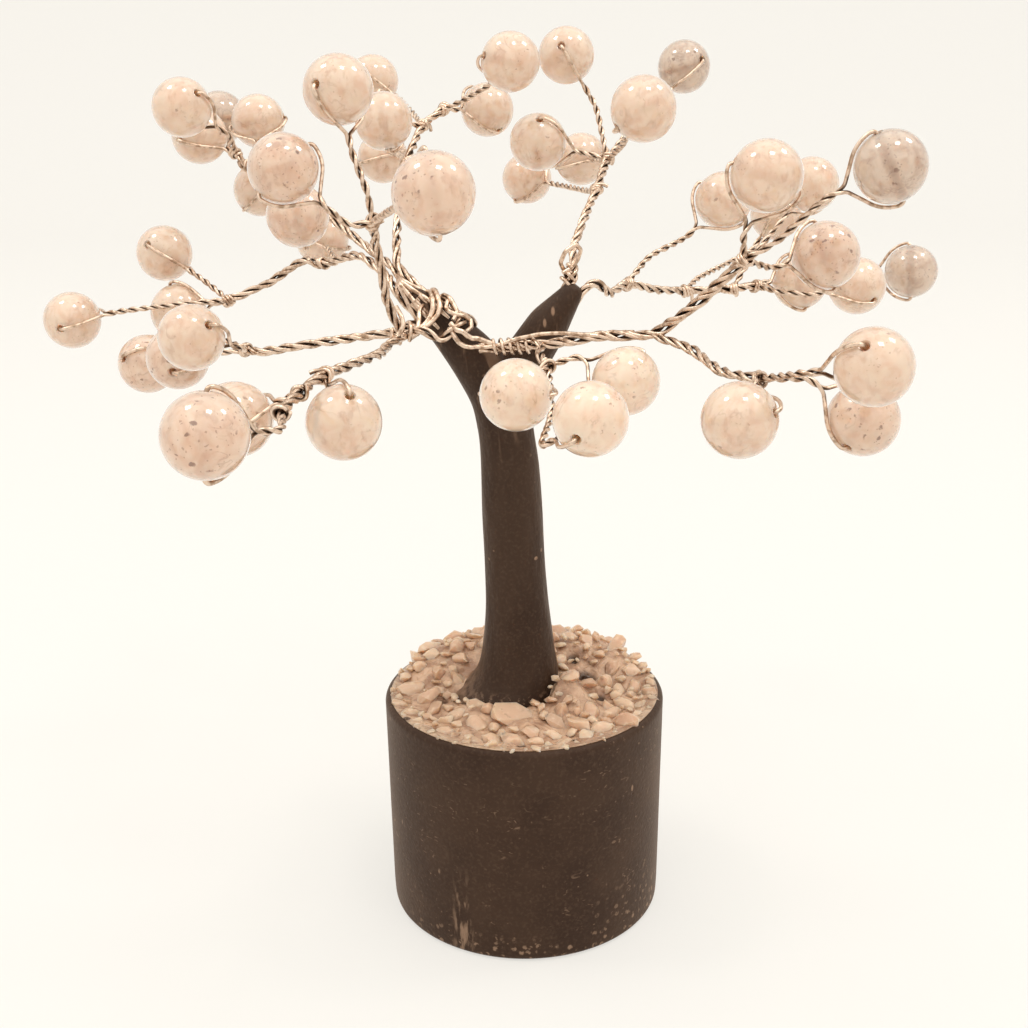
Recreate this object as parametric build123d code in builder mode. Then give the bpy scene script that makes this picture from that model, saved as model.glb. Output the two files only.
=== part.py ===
from build123d import *
from math import acos, asin, cos, degrees, radians, sin, sqrt, tan
import os

os.makedirs("parts", exist_ok=True)

# A gemstone tree: a round wooden base filled with quartz chips, a coated trunk
# that forks once, and ten wire branches that carry forty-five drilled beads.
# Sizes are in millimetres. The origin is the middle of the base's underside.

# Base
base_diameter = 38.0
base_height = 30.65
base_draw_in = 0.3
base_edge_round = 0.8
recess_wall = 1.5
recess_depth = 5.0
glue_depth = 2.95
glue_clearance = 0.05
socket_depth = 13.65

# Quartz chips
chip_size = 3.7
chip_height = 2.5
chip_heap = 3.2
chip_ring_pitch = 3.85
chip_gap = 0.3

# Trunk
trunk_diameter = 8.0
trunk_rise = 44.9
wire_line_shift = -1.5
fork_shift = -2.4
fork_bend = 8.0
left_limb_run = 10.8
left_limb_rise = 11.1
left_limb_diameter = 6.6
left_tip_diameter = 5.0
left_cone_length = 11.5
right_limb_run = 9.0
right_limb_rise = 11.8
right_limb_diameter = 5.3
right_tip_diameter = 4.4
right_cone_length = 7.4
bore_clearance = 0.16

# Wires
wire_diameter = 0.45
wire_pitch = 0.48
wires_per_branch = 4
stem_diameter = 1.2
front_stem_diameter = 1.5
twig_diameter = 0.9
knot_diameter = 1.9
stem_bend = 3.0
left_stem_circle = 3.5
right_stem_circle = 1.9
stem_exit = 1.5
contact_gap = 0.05

# Beads
bead_diameter = 8.0
bead_bore = 1.0
bead_chamfer = 0.15
loop_gap = 0.175
loop_corner = 0.5

# Wire wound round the left limb, and thin wire wound round the front stem
winding_gap = 0.12
winding_start = 0.9
winding_length = 8.8
coil_start = 1.8
coil_pitch = 0.97
coil_turns = 5
coil_gap = 0.08

# Crown: places are shares of this reach, measured from where each branch starts
canopy_reach = 64.0
crossing_rise = 3.5

# How far cuts run past the faces they leave by
overrun = 5.0


glue_top = base_height - recess_depth + glue_depth
socket_floor = base_height - recess_depth - socket_depth
fork_height = glue_top + trunk_rise
left_tip = Vector(fork_shift - left_limb_run, 0, fork_height + left_limb_rise)
right_tip = Vector(fork_shift + right_limb_run, 0, fork_height + right_limb_rise)
fork_point = Vector(fork_shift, 0, fork_height)
fork_front = Vector(fork_shift, 0, fork_height + crossing_rise)
left_way = (left_tip - fork_point).normalized()
right_way = (right_tip - fork_point).normalized()
front_way = Vector(0, -1, 0)
left_side = left_way.cross(front_way).normalized()
right_side = right_way.cross(front_way).normalized()

# Wires in the trunk, on a triangular grid, as many as the branches need. Those
# nearest the right-hand edge leave through the right limb.
branch_count = 10
right_branch_count = 2
wire_count = branch_count * wires_per_branch
right_wire_count = right_branch_count * wires_per_branch
grid_places = []
for row in range(-wires_per_branch, wires_per_branch + 1):
    for column in range(-2 * wires_per_branch, 2 * wires_per_branch + 1):
        grid_places.append((column + row / 2, row * sqrt(3) / 2))
grid_places.sort(key=lambda place: (round(place[0] ** 2 + place[1] ** 2, 3), -place[0], place[1]))
grid_places = sorted(grid_places[:wire_count], key=lambda place: (-place[0], place[1]))
wire_places = [(wire_pitch * column, wire_pitch * row) for column, row in grid_places]
right_wires = wire_places[:right_wire_count]
left_wires = wire_places[right_wire_count:]
right_group_shift = sum(place[0] for place in right_wires) / right_wire_count
bundle_radius = max(sqrt(x**2 + y**2) for x, y in wire_places) + wire_diameter / 2
right_group_radius = wire_diameter / 2 + max(
    sqrt((x - right_group_shift) ** 2 + y**2) for x, y in right_wires
)
bore_radius = bundle_radius + bore_clearance
right_bore_radius = right_group_radius + bore_clearance


def wire_line(shift, tip, start_height):
    """The way of a group of wires: up the trunk, then along a limb to its tip."""
    way = tip - fork_point
    corner_rise = (shift - fork_shift) * way.Z / way.X
    corner = Vector(shift, 0, fork_height + corner_rise)
    return FilletPolyline(Vector(shift, 0, start_height), corner, tip, radius=fork_bend)


right_line_shift = wire_line_shift + right_group_shift

# Base block: a turned wooden puck with a recess for the chips and a socket for the wires
with BuildPart() as base_block:
    with BuildSketch(Plane.XZ) as base_profile:
        with BuildLine():
            Polyline(
                (0, 0),
                (base_diameter / 2 - base_draw_in, 0),
                (base_diameter / 2, base_height),
                (0, base_height),
                close=True,
            )
        make_face()
    revolve(axis=Axis.Z)
    fillet(base_block.edges().filter_by(GeomType.CIRCLE), radius=base_edge_round)
    with BuildSketch(Plane.XY.offset(base_height - recess_depth)):
        Circle(base_diameter / 2 - recess_wall)
    extrude(amount=recess_depth + overrun, mode=Mode.SUBTRACT)
    with BuildSketch(Plane.XY.offset(socket_floor)):
        with Locations((wire_line_shift, 0)):
            Circle(bore_radius)
    extrude(amount=socket_depth + overrun, mode=Mode.SUBTRACT)
base_block.part.label = "base_block"

# Glue bed: the set glue that holds the trunk's foot and the chips
glue_radius = base_diameter / 2 - recess_wall - glue_clearance
with BuildPart() as glue_bed:
    with BuildSketch(Plane.XY.offset(base_height - recess_depth)):
        Circle(glue_radius)
        with Locations((wire_line_shift, 0)):
            Circle(bore_radius, mode=Mode.SUBTRACT)
    extrude(amount=glue_depth)
glue_bed.part.label = "glue_bed"

# Trunk coat: the modelled bark round the wires. Each row gives a height as a share
# of the trunk's rise, then the middle and the width as shares of its diameter.
trunk_section_shares = [
    (0.0, -0.34, 1.87),
    (0.038, -0.33, 1.78),
    (0.072, -0.2, 1.55),
    (0.114, -0.1, 1.39),
    (0.169, -0.09, 1.25),
    (0.25, -0.095, 1.15),
    (0.34, -0.11, 1.05),
    (0.47, -0.14, 1.0),
    (0.61, -0.175, 1.01),
    (0.77, -0.2, 0.94),
    (0.85, -0.245, 0.89),
]
foot_depth_share = 0.93
fork_lean = 22.0
left_fork_share = (-0.03, -0.35, 0.92)
right_fork_share = (0.0, -0.2, 0.8)


def limb_section(tip, way, side, distance):
    """The plane square to a limb, at a distance below its tip."""
    return Plane(origin=tip - way * distance, x_dir=side, z_dir=way)


def fork_section(share, lean):
    """A leaning plane where the trunk parts, and the width of its section."""
    rise_share, shift_share, width_share = share
    origin = Vector(trunk_diameter * shift_share, 0, fork_height + trunk_rise * rise_share)
    side = Vector(cos(radians(lean)), 0, sin(radians(lean)))
    up = Vector(-sin(radians(lean)), 0, cos(radians(lean)))
    return Plane(origin=origin, x_dir=side, z_dir=up), trunk_diameter * width_share


with BuildPart() as trunk_coat:
    for height_share, shift_share, width_share in trunk_section_shares:
        section_width = trunk_diameter * width_share
        section_height = glue_top + trunk_rise * height_share
        with BuildSketch(Plane.XY.offset(section_height)):
            with Locations((trunk_diameter * shift_share, 0)):
                Ellipse(section_width / 2, section_width / 2 * foot_depth_share)
    left_fork_plane, left_fork_width = fork_section(left_fork_share, fork_lean)
    with BuildSketch(left_fork_plane):
        Ellipse(left_fork_width / 2, left_fork_width / 2 * foot_depth_share)
    with BuildSketch(limb_section(left_tip, left_way, left_side, left_cone_length)):
        Circle(left_limb_diameter / 2)
    loft()
    for distance, width in ((left_cone_length, left_limb_diameter), (0, left_tip_diameter)):
        with BuildSketch(limb_section(left_tip, left_way, left_side, distance)):
            Circle(width / 2)
    loft()
    last_height_share, last_shift_share, last_width_share = trunk_section_shares[-1]
    with BuildSketch(Plane.XY.offset(glue_top + trunk_rise * last_height_share)):
        with Locations((trunk_diameter * last_shift_share, 0)):
            Circle(trunk_diameter * last_width_share / 2 * foot_depth_share)
    right_fork_plane, right_fork_width = fork_section(right_fork_share, -fork_lean)
    with BuildSketch(right_fork_plane):
        Circle(right_fork_width / 2)
    with BuildSketch(limb_section(right_tip, right_way, right_side, right_cone_length)):
        Circle(right_limb_diameter / 2)
    loft()
    for distance, width in ((right_cone_length, right_limb_diameter), (0, right_tip_diameter)):
        with BuildSketch(limb_section(right_tip, right_way, right_side, distance)):
            Circle(width / 2)
    loft()
    with BuildLine() as left_bore_line:
        wire_line(wire_line_shift, left_tip + left_way * overrun, glue_top - overrun)
    with BuildSketch(Plane.XY.offset(glue_top - overrun)):
        with Locations((wire_line_shift, 0)):
            Circle(bore_radius)
    sweep(path=left_bore_line.wire(), mode=Mode.SUBTRACT)
    with BuildLine() as right_bore_line:
        wire_line(right_line_shift, right_tip + right_way * overrun, fork_height - fork_bend)
    with BuildSketch(Plane.XY.offset(fork_height - fork_bend)):
        with Locations((right_line_shift, 0)):
            Circle(right_bore_radius)
    sweep(path=right_bore_line.wire(), mode=Mode.SUBTRACT)
trunk_coat.part.label = "trunk_coat"

# Trunk wire bundle: the branches' wires, side by side from the socket to the limbs' tips
with BuildPart() as trunk_wire_bundle:
    with BuildLine() as left_wire_line:
        wire_line(wire_line_shift, left_tip, socket_floor)
    with BuildSketch(Plane.XY.offset(socket_floor)):
        with Locations(*[(wire_line_shift + x, y) for x, y in left_wires]):
            Circle(wire_diameter / 2)
    sweep(path=left_wire_line.wire())
    with BuildLine() as right_wire_line:
        wire_line(right_line_shift, right_tip, socket_floor)
    with BuildSketch(Plane.XY.offset(socket_floor)):
        with Locations(*[(wire_line_shift + x, y) for x, y in right_wires]):
            Circle(wire_diameter / 2)
    sweep(path=right_wire_line.wire())
trunk_wire_bundle.part.label = "trunk_wire_bundle"

# Quartz chips: broken stones set in rings on the glue, higher behind the trunk's foot.
# Each outline is a ring of corners, as shares of the chip's half width.
chip_outline_shares = [
    [(1.0, 0.1), (0.45, 0.85), (-0.5, 0.8), (-1.0, -0.05), (-0.4, -0.85), (0.55, -0.8)],
    [(0.95, 0.3), (0.1, 1.0), (-0.9, 0.45), (-0.75, -0.6), (0.35, -0.9)],
    [(0.9, -0.35), (0.8, 0.55), (-0.1, 0.95), (-0.95, 0.25), (-0.6, -0.75), (0.2, -0.95)],
    [(1.0, 0.0), (0.3, 0.9), (-0.8, 0.6), (-0.85, -0.45), (0.1, -0.95)],
]
chip_ring_counts = [24, 18, 12]
chip_top_tilt = 17.0
chip_taper = 6.0
chip_turn = 137.5
foot_shift_share, foot_width_share = trunk_section_shares[0][1:]
foot_half = trunk_diameter * foot_width_share / 2 + chip_gap + chip_size / 2
outer_ring = base_diameter / 2 - recess_wall - chip_gap / 2 - chip_size / 2
chip_places = []
for ring, ring_count in enumerate(chip_ring_counts):
    ring_radius = outer_ring - ring * chip_ring_pitch
    for step in range(ring_count):
        angle = 360 * (step + ring / 3) / ring_count
        x = ring_radius * cos(radians(angle))
        y = ring_radius * sin(radians(angle))
        off_foot = sqrt((x - trunk_diameter * foot_shift_share) ** 2 + (y / foot_depth_share) ** 2)
        if off_foot > foot_half:
            heap = max(0, sin(radians(angle))) * (1 - off_foot / base_diameter) * ring / 2
            chip_places.append((x, y, chip_height + chip_heap * heap))
chips = []
for number, (x, y, height) in enumerate(chip_places):
    outline = chip_outline_shares[number % len(chip_outline_shares)]
    turn = chip_turn * number
    foot_plane = Plane(origin=(x, y, glue_top)).rotated((0, 0, turn))
    top_plane = Plane(origin=(x, y, glue_top + height)).rotated((chip_top_tilt, 0, turn))
    with BuildPart() as chip:
        with BuildSketch(foot_plane):
            with BuildLine():
                Polyline(*[(chip_size / 2 * u, chip_size / 2 * v) for u, v in outline], close=True)
            make_face()
        extrude(amount=height + chip_size / 2, taper=chip_taper)
        split(bisect_by=top_plane, keep=Keep.BOTTOM)
    chips.append(chip.part)
with BuildPart() as quartz_chips:
    add(chips)
quartz_chips.part.label = "quartz_chips"


# Branches. Each route starts at a limb's tip or in front of the fork, and each row
# after it is a bend. Places are shares of the canopy's reach, from that start.
left_route_shares = {
    "front_left": (260, [(-0.035, -0.045, 0.02), (-0.03, -0.09, 0.005), (-0.02, -0.14, -0.02),
                         (-0.045, -0.265, -0.055), (-0.125, -0.455, -0.05), (-0.15, -0.56, -0.055),
                         (-0.16, -0.69, -0.055)]),
    "left": (205, [(-0.06, -0.02, 0.0), (-0.075, -0.04, -0.03), (-0.11, -0.06, -0.07),
                   (-0.22, -0.06, -0.08), (-0.3, -0.045, -0.095), (-0.34, 0.0, -0.1)]),
    "back_left_low": (150, [(-0.08, 0.085, 0.04), (-0.14, 0.19, 0.07), (-0.215, 0.265, 0.03),
                            (-0.26, 0.31, 0.035), (-0.34, 0.335, -0.02), (-0.43, 0.32, -0.055)]),
    "back_left_high": (90, [(-0.065, 0.135, 0.08), (-0.135, 0.22, 0.105), (-0.21, 0.295, 0.135),
                            (-0.305, 0.39, 0.19), (-0.39, 0.455, 0.215), (-0.425, 0.485, 0.245)]),
    "front_high": (325, [(-0.02, -0.055, 0.06), (-0.04, -0.11, 0.09), (-0.05, -0.155, 0.125),
                         (-0.055, -0.205, 0.17)]),
    "back_high_left": (30, [(-0.025, 0.08, 0.085), (-0.04, 0.17, 0.14), (-0.035, 0.345, 0.23),
                            (-0.01, 0.515, 0.3), (0.035, 0.595, 0.33)]),
}
right_route_shares = {
    "back_high_right": (180, [(0.0, 0.06, 0.07), (0.025, 0.155, 0.115), (0.06, 0.28, 0.165),
                              (0.09, 0.405, 0.22)]),
    "back_right": (0, [(0.05, 0.02, 0.01), (0.075, 0.06, -0.02), (0.115, 0.155, -0.01),
                       (0.185, 0.235, -0.04), (0.255, 0.31, -0.055), (0.37, 0.365, -0.06),
                       (0.425, 0.4, -0.06)]),
}
front_right_shares = [(-0.045, -0.065, 0.03), (0.105, -0.07, 0.04), (0.185, -0.1, 0.06),
                      (0.285, -0.155, 0.07), (0.36, -0.22, 0.145), (0.425, -0.28, 0.225)]
front_right_low_shares = [(0.285, -0.155, 0.07), (0.345, -0.235, 0.06), (0.38, -0.36, 0.045),
                          (0.43, -0.46, 0.055)]
front_middle_shares = [(0.07, -0.135, 0.03), (0.085, -0.205, 0.025)]
front_middle_root_share = 0.8

# Beads, by branch: the bend where the twig leaves the branch, counted from the
# branch's free end, then the bead's middle, the way of its bore, and the twig's
# bends. Middles and bends are shares of the reach from the branch's start.
bead_shares = {
    "front_left": [
        (-3, (-0.085, -0.54, -0.11), (0.35, -0.7, 0.65), []),
        (-2, (-0.265, -0.515, -0.11), (0.4, 0.85, 0.35), []),
        (-1, (-0.235, -0.875, -0.04), (0, -0.05, -1), [(-0.145, -0.775, -0.06)]),
    ],
    "left": [
        (-1, (-0.41, -0.15, -0.045), (0.6, -0.6, 0.5), [(-0.33, -0.08, -0.08)]),
        (-1, (-0.475, 0.0, -0.115), (0.35, -0.9, -0.2), []),
        (-1, (-0.59, 0.205, -0.17), (-0.45, -0.75, 0.45),
         [(-0.425, 0.1, -0.085), (-0.51, 0.16, -0.105)]),
    ],
    "back_left_low": [
        (-4, (-0.26, 0.625, 0.035), (-0.95, -0.2, 0.3), [(-0.2, 0.405, 0.01)]),
        (-1, (-0.555, 0.375, -0.09), (-0.2, 0, 1), []),
        (-1, (-0.595, 0.455, 0.03), (0, -1, 0.2), [(-0.495, 0.38, -0.02)]),
        (-1, (-0.785, 0.345, -0.1), (0, -1, -0.1),
         [(-0.51, 0.285, -0.055), (-0.655, 0.32, -0.075)]),
    ],
    "back_left_high": [
        (-4, (-0.235, 0.09, 0.15), (-0.15, 0.2, 0.95), []),
        (-3, (-0.405, 0.655, 0.15), (0.6, 0.4, 0.7), [(-0.335, 0.5, 0.19)]),
        (-2, (-0.405, 0.69, 0.305), (1, -0.15, 0.05), [(-0.395, 0.585, 0.245)]),
        (-1, (-0.515, 0.545, 0.28), (-0.1, -1, -0.2), []),
        (-1, (-0.505, 0.345, 0.35), (-0.75, 0.5, -0.45), [(-0.42, 0.405, 0.29)]),
        (-1, (-0.515, 0.795, 0.31), (0.85, 0.45, -0.1), [(-0.46, 0.625, 0.235)]),
    ],
    "front_high": [
        (-1, (-0.115, -0.15, 0.395), (-0.55, -0.85, 0.15),
         [(-0.065, -0.21, 0.225), (-0.09, -0.19, 0.285)]),
        (-1, (-0.21, -0.215, 0.265), (-0.65, -0.35, -0.65),
         [(-0.095, -0.225, 0.165), (-0.13, -0.24, 0.195)]),
        (-1, (0.075, -0.635, 0.26), (0.15, -0.15, -1),
         [(-0.035, -0.31, 0.19), (0.02, -0.525, 0.235)]),
    ],
    "back_high_left": [
        (-3, (-0.125, 0.81, 0.21), (0.9, 0.35, 0.2), [(-0.055, 0.515, 0.23), (-0.085, 0.695, 0.23)]),
        (-2, (-0.085, 0.405, 0.315), (-0.15, 0.3, 0.95), []),
        (-2, (-0.145, 0.84, 0.39), (0.5, 0.7, -0.55), [(-0.035, 0.635, 0.32), (-0.075, 0.755, 0.35)]),
        (-1, (0.135, 0.7, 0.325), (0.4, -0.5, -0.75), []),
        (-1, (0.19, 0.36, 0.435), (-0.9, -0.4, 0.2), [(0.08, 0.545, 0.35), (0.135, 0.455, 0.38)]),
    ],
    "back_high_right": [
        (-2, (-0.08, 0.875, 0.14), (0.5, 0.25, 0.8), [(0.06, 0.515, 0.14), (-0.01, 0.76, 0.135)]),
        (-1, (0.005, 0.53, 0.435), (-0.2, -0.95, 0.3), [(0.07, 0.475, 0.325)]),
        (-1, (-0.06, 0.44, 0.255), (0.1, -0.6, 0.8), []),
        (-1, (0.05, 0.75, 0.195), (0.95, 0.2, 0.3), [(0.1, 0.545, 0.205)]),
        (-1, (0.13, 0.0, 0.34), (0.8, 0.35, 0.5), [(0.11, 0.295, 0.25)]),
        (-1, (0.295, 0.77, 0.405), (0.6, -0.75, 0.25), [(0.15, 0.53, 0.275), (0.235, 0.695, 0.33)]),
    ],
    "back_right": [
        (-5, (0.345, 0.395, 0.13), (0.75, -0.35, -0.6), [(0.17, 0.25, 0.03), (0.26, 0.35, 0.055)]),
        (-3, (0.525, 0.735, 0.06), (-0.05, 0.75, -0.65), [(0.295, 0.4, -0.04), (0.455, 0.66, -0.02)]),
        (-2, (0.565, 0.53, 0.15), (0.65, 0.4, -0.65), [(0.41, 0.415, -0.005), (0.485, 0.495, 0.06)]),
        (-2, (0.835, 0.625, -0.065), (-0.05, 0.25, 0.95),
         [(0.43, 0.515, -0.075), (0.54, 0.65, -0.085), (0.71, 0.67, -0.08)]),
        (-1, (0.535, 0.455, -0.06), (-0.3, 0.35, 0.9), []),
        (-1, (0.635, 0.33, -0.05), (-0.5, 0.75, 0.4), [(0.465, 0.32, -0.06), (0.525, 0.275, -0.06)]),
    ],
    "front_right": [
        (-1, (0.455, -0.295, 0.37), (0.95, -0.05, -0.4), [(0.415, -0.32, 0.27)]),
        (-1, (0.66, -0.315, 0.385), (-0.4, -0.05, 0.95), [(0.48, -0.295, 0.26), (0.55, -0.31, 0.33)]),
        (-1, (0.595, -0.155, 0.215), (-0.25, 0.3, 0.9), [(0.485, -0.21, 0.2)]),
    ],
    "front_right_low": [
        (-1, (0.38, -0.575, 0.015), (0.75, -0.65, 0.25), []),
        (-1, (0.575, -0.625, 0.11), (-0.25, -0.7, 0.7), [(0.475, -0.575, 0.09)]),
        (-1, (0.61, -0.445, -0.02), (0.55, 0.55, 0.65), [(0.515, -0.435, 0.05)]),
    ],
    "front_middle": [
        (-1, (0.025, -0.41, 0.02), (0.95, -0.25, 0.05), []),
        (-1, (0.145, -0.54, 0.01), (-0.4, -0.8, -0.3), [(0.09, -0.33, -0.03), (0.065, -0.475, -0.055)]),
        (-1, (0.225, -0.25, 0.005), (0.4, 0.55, 0.75), [(0.14, -0.195, 0.04)]),
    ],
}


def places(start, shares):
    """Turn shares of the reach into places, measured from a branch's start."""
    return [start + Vector(*share) * canopy_reach for share in shares]


def limb_stem(tip, way, side, circle, degrees_round, shares):
    """A branch's way from its place on a limb's end face, straight out and then on."""
    turn = radians(degrees_round)
    root = tip + (side * cos(turn) + Vector(0, 1, 0) * sin(turn)) * (circle / 2)
    return [root, root + way * stem_exit, *places(tip, shares)]


bend_run_share = 0.45


def bend_radii(points):
    """One radius for each bend: the usual one, or less where its shorter run is short."""
    radii = []
    for before, corner, after in zip(points, points[1:], points[2:]):
        shorter = min((corner - before).length, (after - corner).length)
        half_turn = radians((corner - before).get_angle(after - corner)) / 2
        radii.append(min(stem_bend, bend_run_share * shorter / tan(half_turn)))
    return radii


def tube(points, diameter):
    """Add a round bar along straight runs with rounded bends."""
    with BuildLine() as route:
        if len(points) == 2:
            Line(*points)
        else:
            FilletPolyline(*points, radius=bend_radii(points))
    round_bar(route.wire(), diameter)


def round_bar(route, diameter):
    """Add a round bar along a finished route."""
    with BuildSketch(Plane(origin=route @ 0, z_dir=route % 0)) as section:
        Circle(diameter / 2)
    sweep(section.sketch, path=route)


# A bead's wire leaves the twig in two legs, lies round the bead and runs through its bore
loop_radius = bead_diameter / 2 + loop_gap + wire_diameter / 2
neck_share = 1.17
leg_start_share = 0.3
neck_length = neck_share * loop_radius
leg_turn = acos(1 / neck_share)
corner_turn = asin(loop_corner / (loop_radius - loop_corner))
corner_middle = sqrt((loop_radius - loop_corner) ** 2 - loop_corner**2)
leg_start = leg_start_share * twig_diameter


def bead_loop(middle, bore_way, neck_way):
    """Add the wire round a bead, in the plane of its bore and its neck."""
    touch_x = loop_radius * sin(leg_turn)
    touch_y = loop_radius * cos(leg_turn)
    start_y = neck_length - (neck_length - touch_y) * leg_start / touch_x
    hug_angle = 90 - degrees(leg_turn)
    corner_angle = degrees(corner_turn)
    with BuildLine(Plane(origin=middle, x_dir=bore_way, z_dir=bore_way.cross(neck_way))) as route:
        Line((leg_start, start_y), (touch_x, touch_y))
        CenterArc((0, 0), loop_radius, hug_angle, corner_angle - hug_angle)
        CenterArc((corner_middle, loop_corner), loop_corner, corner_angle, -90 - corner_angle)
        Line((corner_middle, 0), (-corner_middle, 0))
        CenterArc((-corner_middle, loop_corner), loop_corner, -90, -90 - corner_angle)
        CenterArc((0, 0), loop_radius, 180 - corner_angle, corner_angle - hug_angle)
        Line((-touch_x, touch_y), (-leg_start, start_y))
    round_bar(route.wire(), wire_diameter)


def bead_frame(stem, start, row):
    """The twig's points, the bead's middle, and the square ways of its bore and neck."""
    root, middle_share, bore_way, bend_shares = row
    middle = start + Vector(*middle_share) * canopy_reach
    points = [stem[root], *places(start, bend_shares)]
    neck_way = (points[-1] - middle).normalized()
    bore_way = Vector(*bore_way)
    bore_way = (bore_way - neck_way * bore_way.dot(neck_way)).normalized()
    points.append(middle + neck_way * (neck_length - twig_diameter / 2))
    return points, middle, bore_way, neck_way


def knot(stem, root, thickness):
    """Add the short thick twist of wire where twigs leave a stem."""
    way = (stem[root] - stem[root - 1]).normalized()
    if root < -1:
        way = (way + (stem[root + 1] - stem[root]).normalized()).normalized()
    edge_radius = (thickness + knot_diameter) / 4
    with BuildSketch(Plane(origin=stem[root], x_dir=way, z_dir=way.cross(Vector(0, 0, 1)))) as half:
        with BuildLine():
            Polyline(
                (-knot_diameter / 2, 0),
                (-knot_diameter / 2, edge_radius),
                (-knot_diameter / 4, knot_diameter / 2),
                (knot_diameter / 4, knot_diameter / 2),
                (knot_diameter / 2, edge_radius),
                (knot_diameter / 2, 0),
                close=True,
            )
        make_face()
    revolve(half.sketch, axis=Axis(stem[root], way))


def twigs_and_loops(stem, start, rows, thickness):
    """Add a branch's stem, the knots where its twigs leave, its twigs and its bead wires."""
    tube(stem, thickness)
    for root in sorted({row[0] for row in rows}):
        knot(stem, root, thickness)
    for row in rows:
        points, middle, bore_way, neck_way = bead_frame(stem, start, row)
        tube(points, twig_diameter)
        bead_loop(middle, bore_way, neck_way)


def wound_route(place, quarters, end, end_way):
    """Join a winding's quarter turns, and then its end, by pairs of arcs that meet smoothly."""
    points = [place(quarter) for quarter in range(quarters + 1)] + [end]
    ways = [
        (place(quarter + 1) - place(quarter - 1)).normalized() for quarter in range(quarters + 1)
    ] + [end_way]
    for begin, finish, out, into in zip(points, points[1:], ways, ways[1:]):
        across = finish - begin
        slope = across.dot(out + into)
        spread = 2 * (1 - out.dot(into))
        reach = (sqrt(slope**2 + spread * across.dot(across)) - slope) / spread
        first_end = begin + out * reach
        last_end = finish - into * reach
        joint = (first_end + last_end) / 2
        TangentArc(begin, joint, tangent=out)
        TangentArc(joint, finish, tangent=last_end - first_end)


def least_gap(route, diameter, turn_length):
    """The least gap between a wound wire and its own other turns."""
    count = round(6 * route.length / diameter)
    points = [route @ (step / count) for step in range(count + 1)]
    apart = round(0.6 * turn_length / route.length * count)
    near = min(
        (points[i] - points[j]).length
        for i in range(len(points))
        for j in range(i + apart, len(points))
    )
    return near - diameter


def around(middle, way, side, distance, radius, turn):
    """A point beside a line, at a distance along it and a turn round it in degrees."""
    across = side * cos(radians(turn)) + way.cross(side) * sin(radians(turn))
    return middle + way * distance + across * radius


branches = {}
stems = {}
for name, (turn, shares) in left_route_shares.items():
    stem = limb_stem(left_tip, left_way, left_side, left_stem_circle, turn, shares)
    stems[name] = (stem, left_tip, stem_diameter)
for name, (turn, shares) in right_route_shares.items():
    stem = limb_stem(right_tip, right_way, right_side, right_stem_circle, turn, shares)
    stems[name] = (stem, right_tip, stem_diameter)
front_right_stem = places(fork_front, front_right_shares)
stems["front_right"] = (front_right_stem, fork_front, front_stem_diameter)
front_right_low_stem = places(fork_front, front_right_low_shares)
stems["front_right_low"] = (front_right_low_stem, fork_front, front_stem_diameter)
crossing_start, crossing_end = front_right_stem[:2]
crossing_way = (crossing_end - crossing_start).normalized()
middle_root = crossing_start + (crossing_end - crossing_start) * front_middle_root_share
middle_out = (places(fork_front, front_middle_shares)[0] - middle_root).normalized()
middle_tilt = abs(middle_out.dot(crossing_way))
middle_stand_off = (front_stem_diameter + stem_diameter * middle_tilt) / 2 + contact_gap
front_middle_stem = [
    middle_root + middle_out * middle_stand_off,
    *places(fork_front, front_middle_shares),
]
stems["front_middle"] = (front_middle_stem, fork_front, stem_diameter)

for name in [*left_route_shares, *right_route_shares]:
    stem, start, thickness = stems[name]
    with BuildPart() as branch:
        twigs_and_loops(stem, start, bead_shares[name], thickness)
    branches[name] = branch.part

# The front right branch's tail, wound round the left limb from the front. Each share
# is how far along the winding a whole turn ends.
winding_turn_shares = [0.0, 0.19, 0.38, 0.78, 1.0]
winding_quarters = 4 * (len(winding_turn_shares) - 1)
limb_growth = (left_limb_diameter - left_tip_diameter) / left_cone_length


def winding_place(quarter):
    """Where the winding is after so many quarter turns."""
    turn = min(max(quarter // 4, 0), len(winding_turn_shares) - 2)
    low, high = winding_turn_shares[turn : turn + 2]
    along = winding_start + winding_length * (low + (high - low) * (quarter / 4 - turn))
    limb_radius = (left_tip_diameter + limb_growth * along) / 2
    radius = limb_radius + winding_gap + twig_diameter / 2
    return around(left_tip, -left_way, left_side, along, radius, 90 - 90 * quarter)


with BuildPart() as branch:
    with BuildLine() as winding:
        wound_route(winding_place, winding_quarters, crossing_start, crossing_way)
    round_bar(winding.wire(), twig_diameter)
    stem, start, thickness = stems["front_right"]
    twigs_and_loops(stem, start, bead_shares["front_right"], thickness)
    stem, start, thickness = stems["front_right_low"]
    twigs_and_loops(stem, start, bead_shares["front_right_low"], thickness)
branches["front_right"] = branch.part
print("winding's least gap", least_gap(winding.wire(), twig_diameter, 3 * left_limb_diameter))

# The front middle branch's thin wire, wound round the front right branch from above
coil_radius = (front_stem_diameter + wire_diameter) / 2 + coil_gap
coil_side = Vector(0, 0, 1).cross(crossing_way).normalized()
coil_end = (front_middle_stem[0] + front_middle_stem[1]) / 2
coil_end_way = (front_middle_stem[1] - front_middle_stem[0]).normalized()


def coil_place(quarter):
    """Where the thin wire is after so many quarter turns."""
    along = coil_start + coil_pitch * quarter / 4
    return around(crossing_start, crossing_way, coil_side, along, coil_radius, 90 + 90 * quarter)


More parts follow.
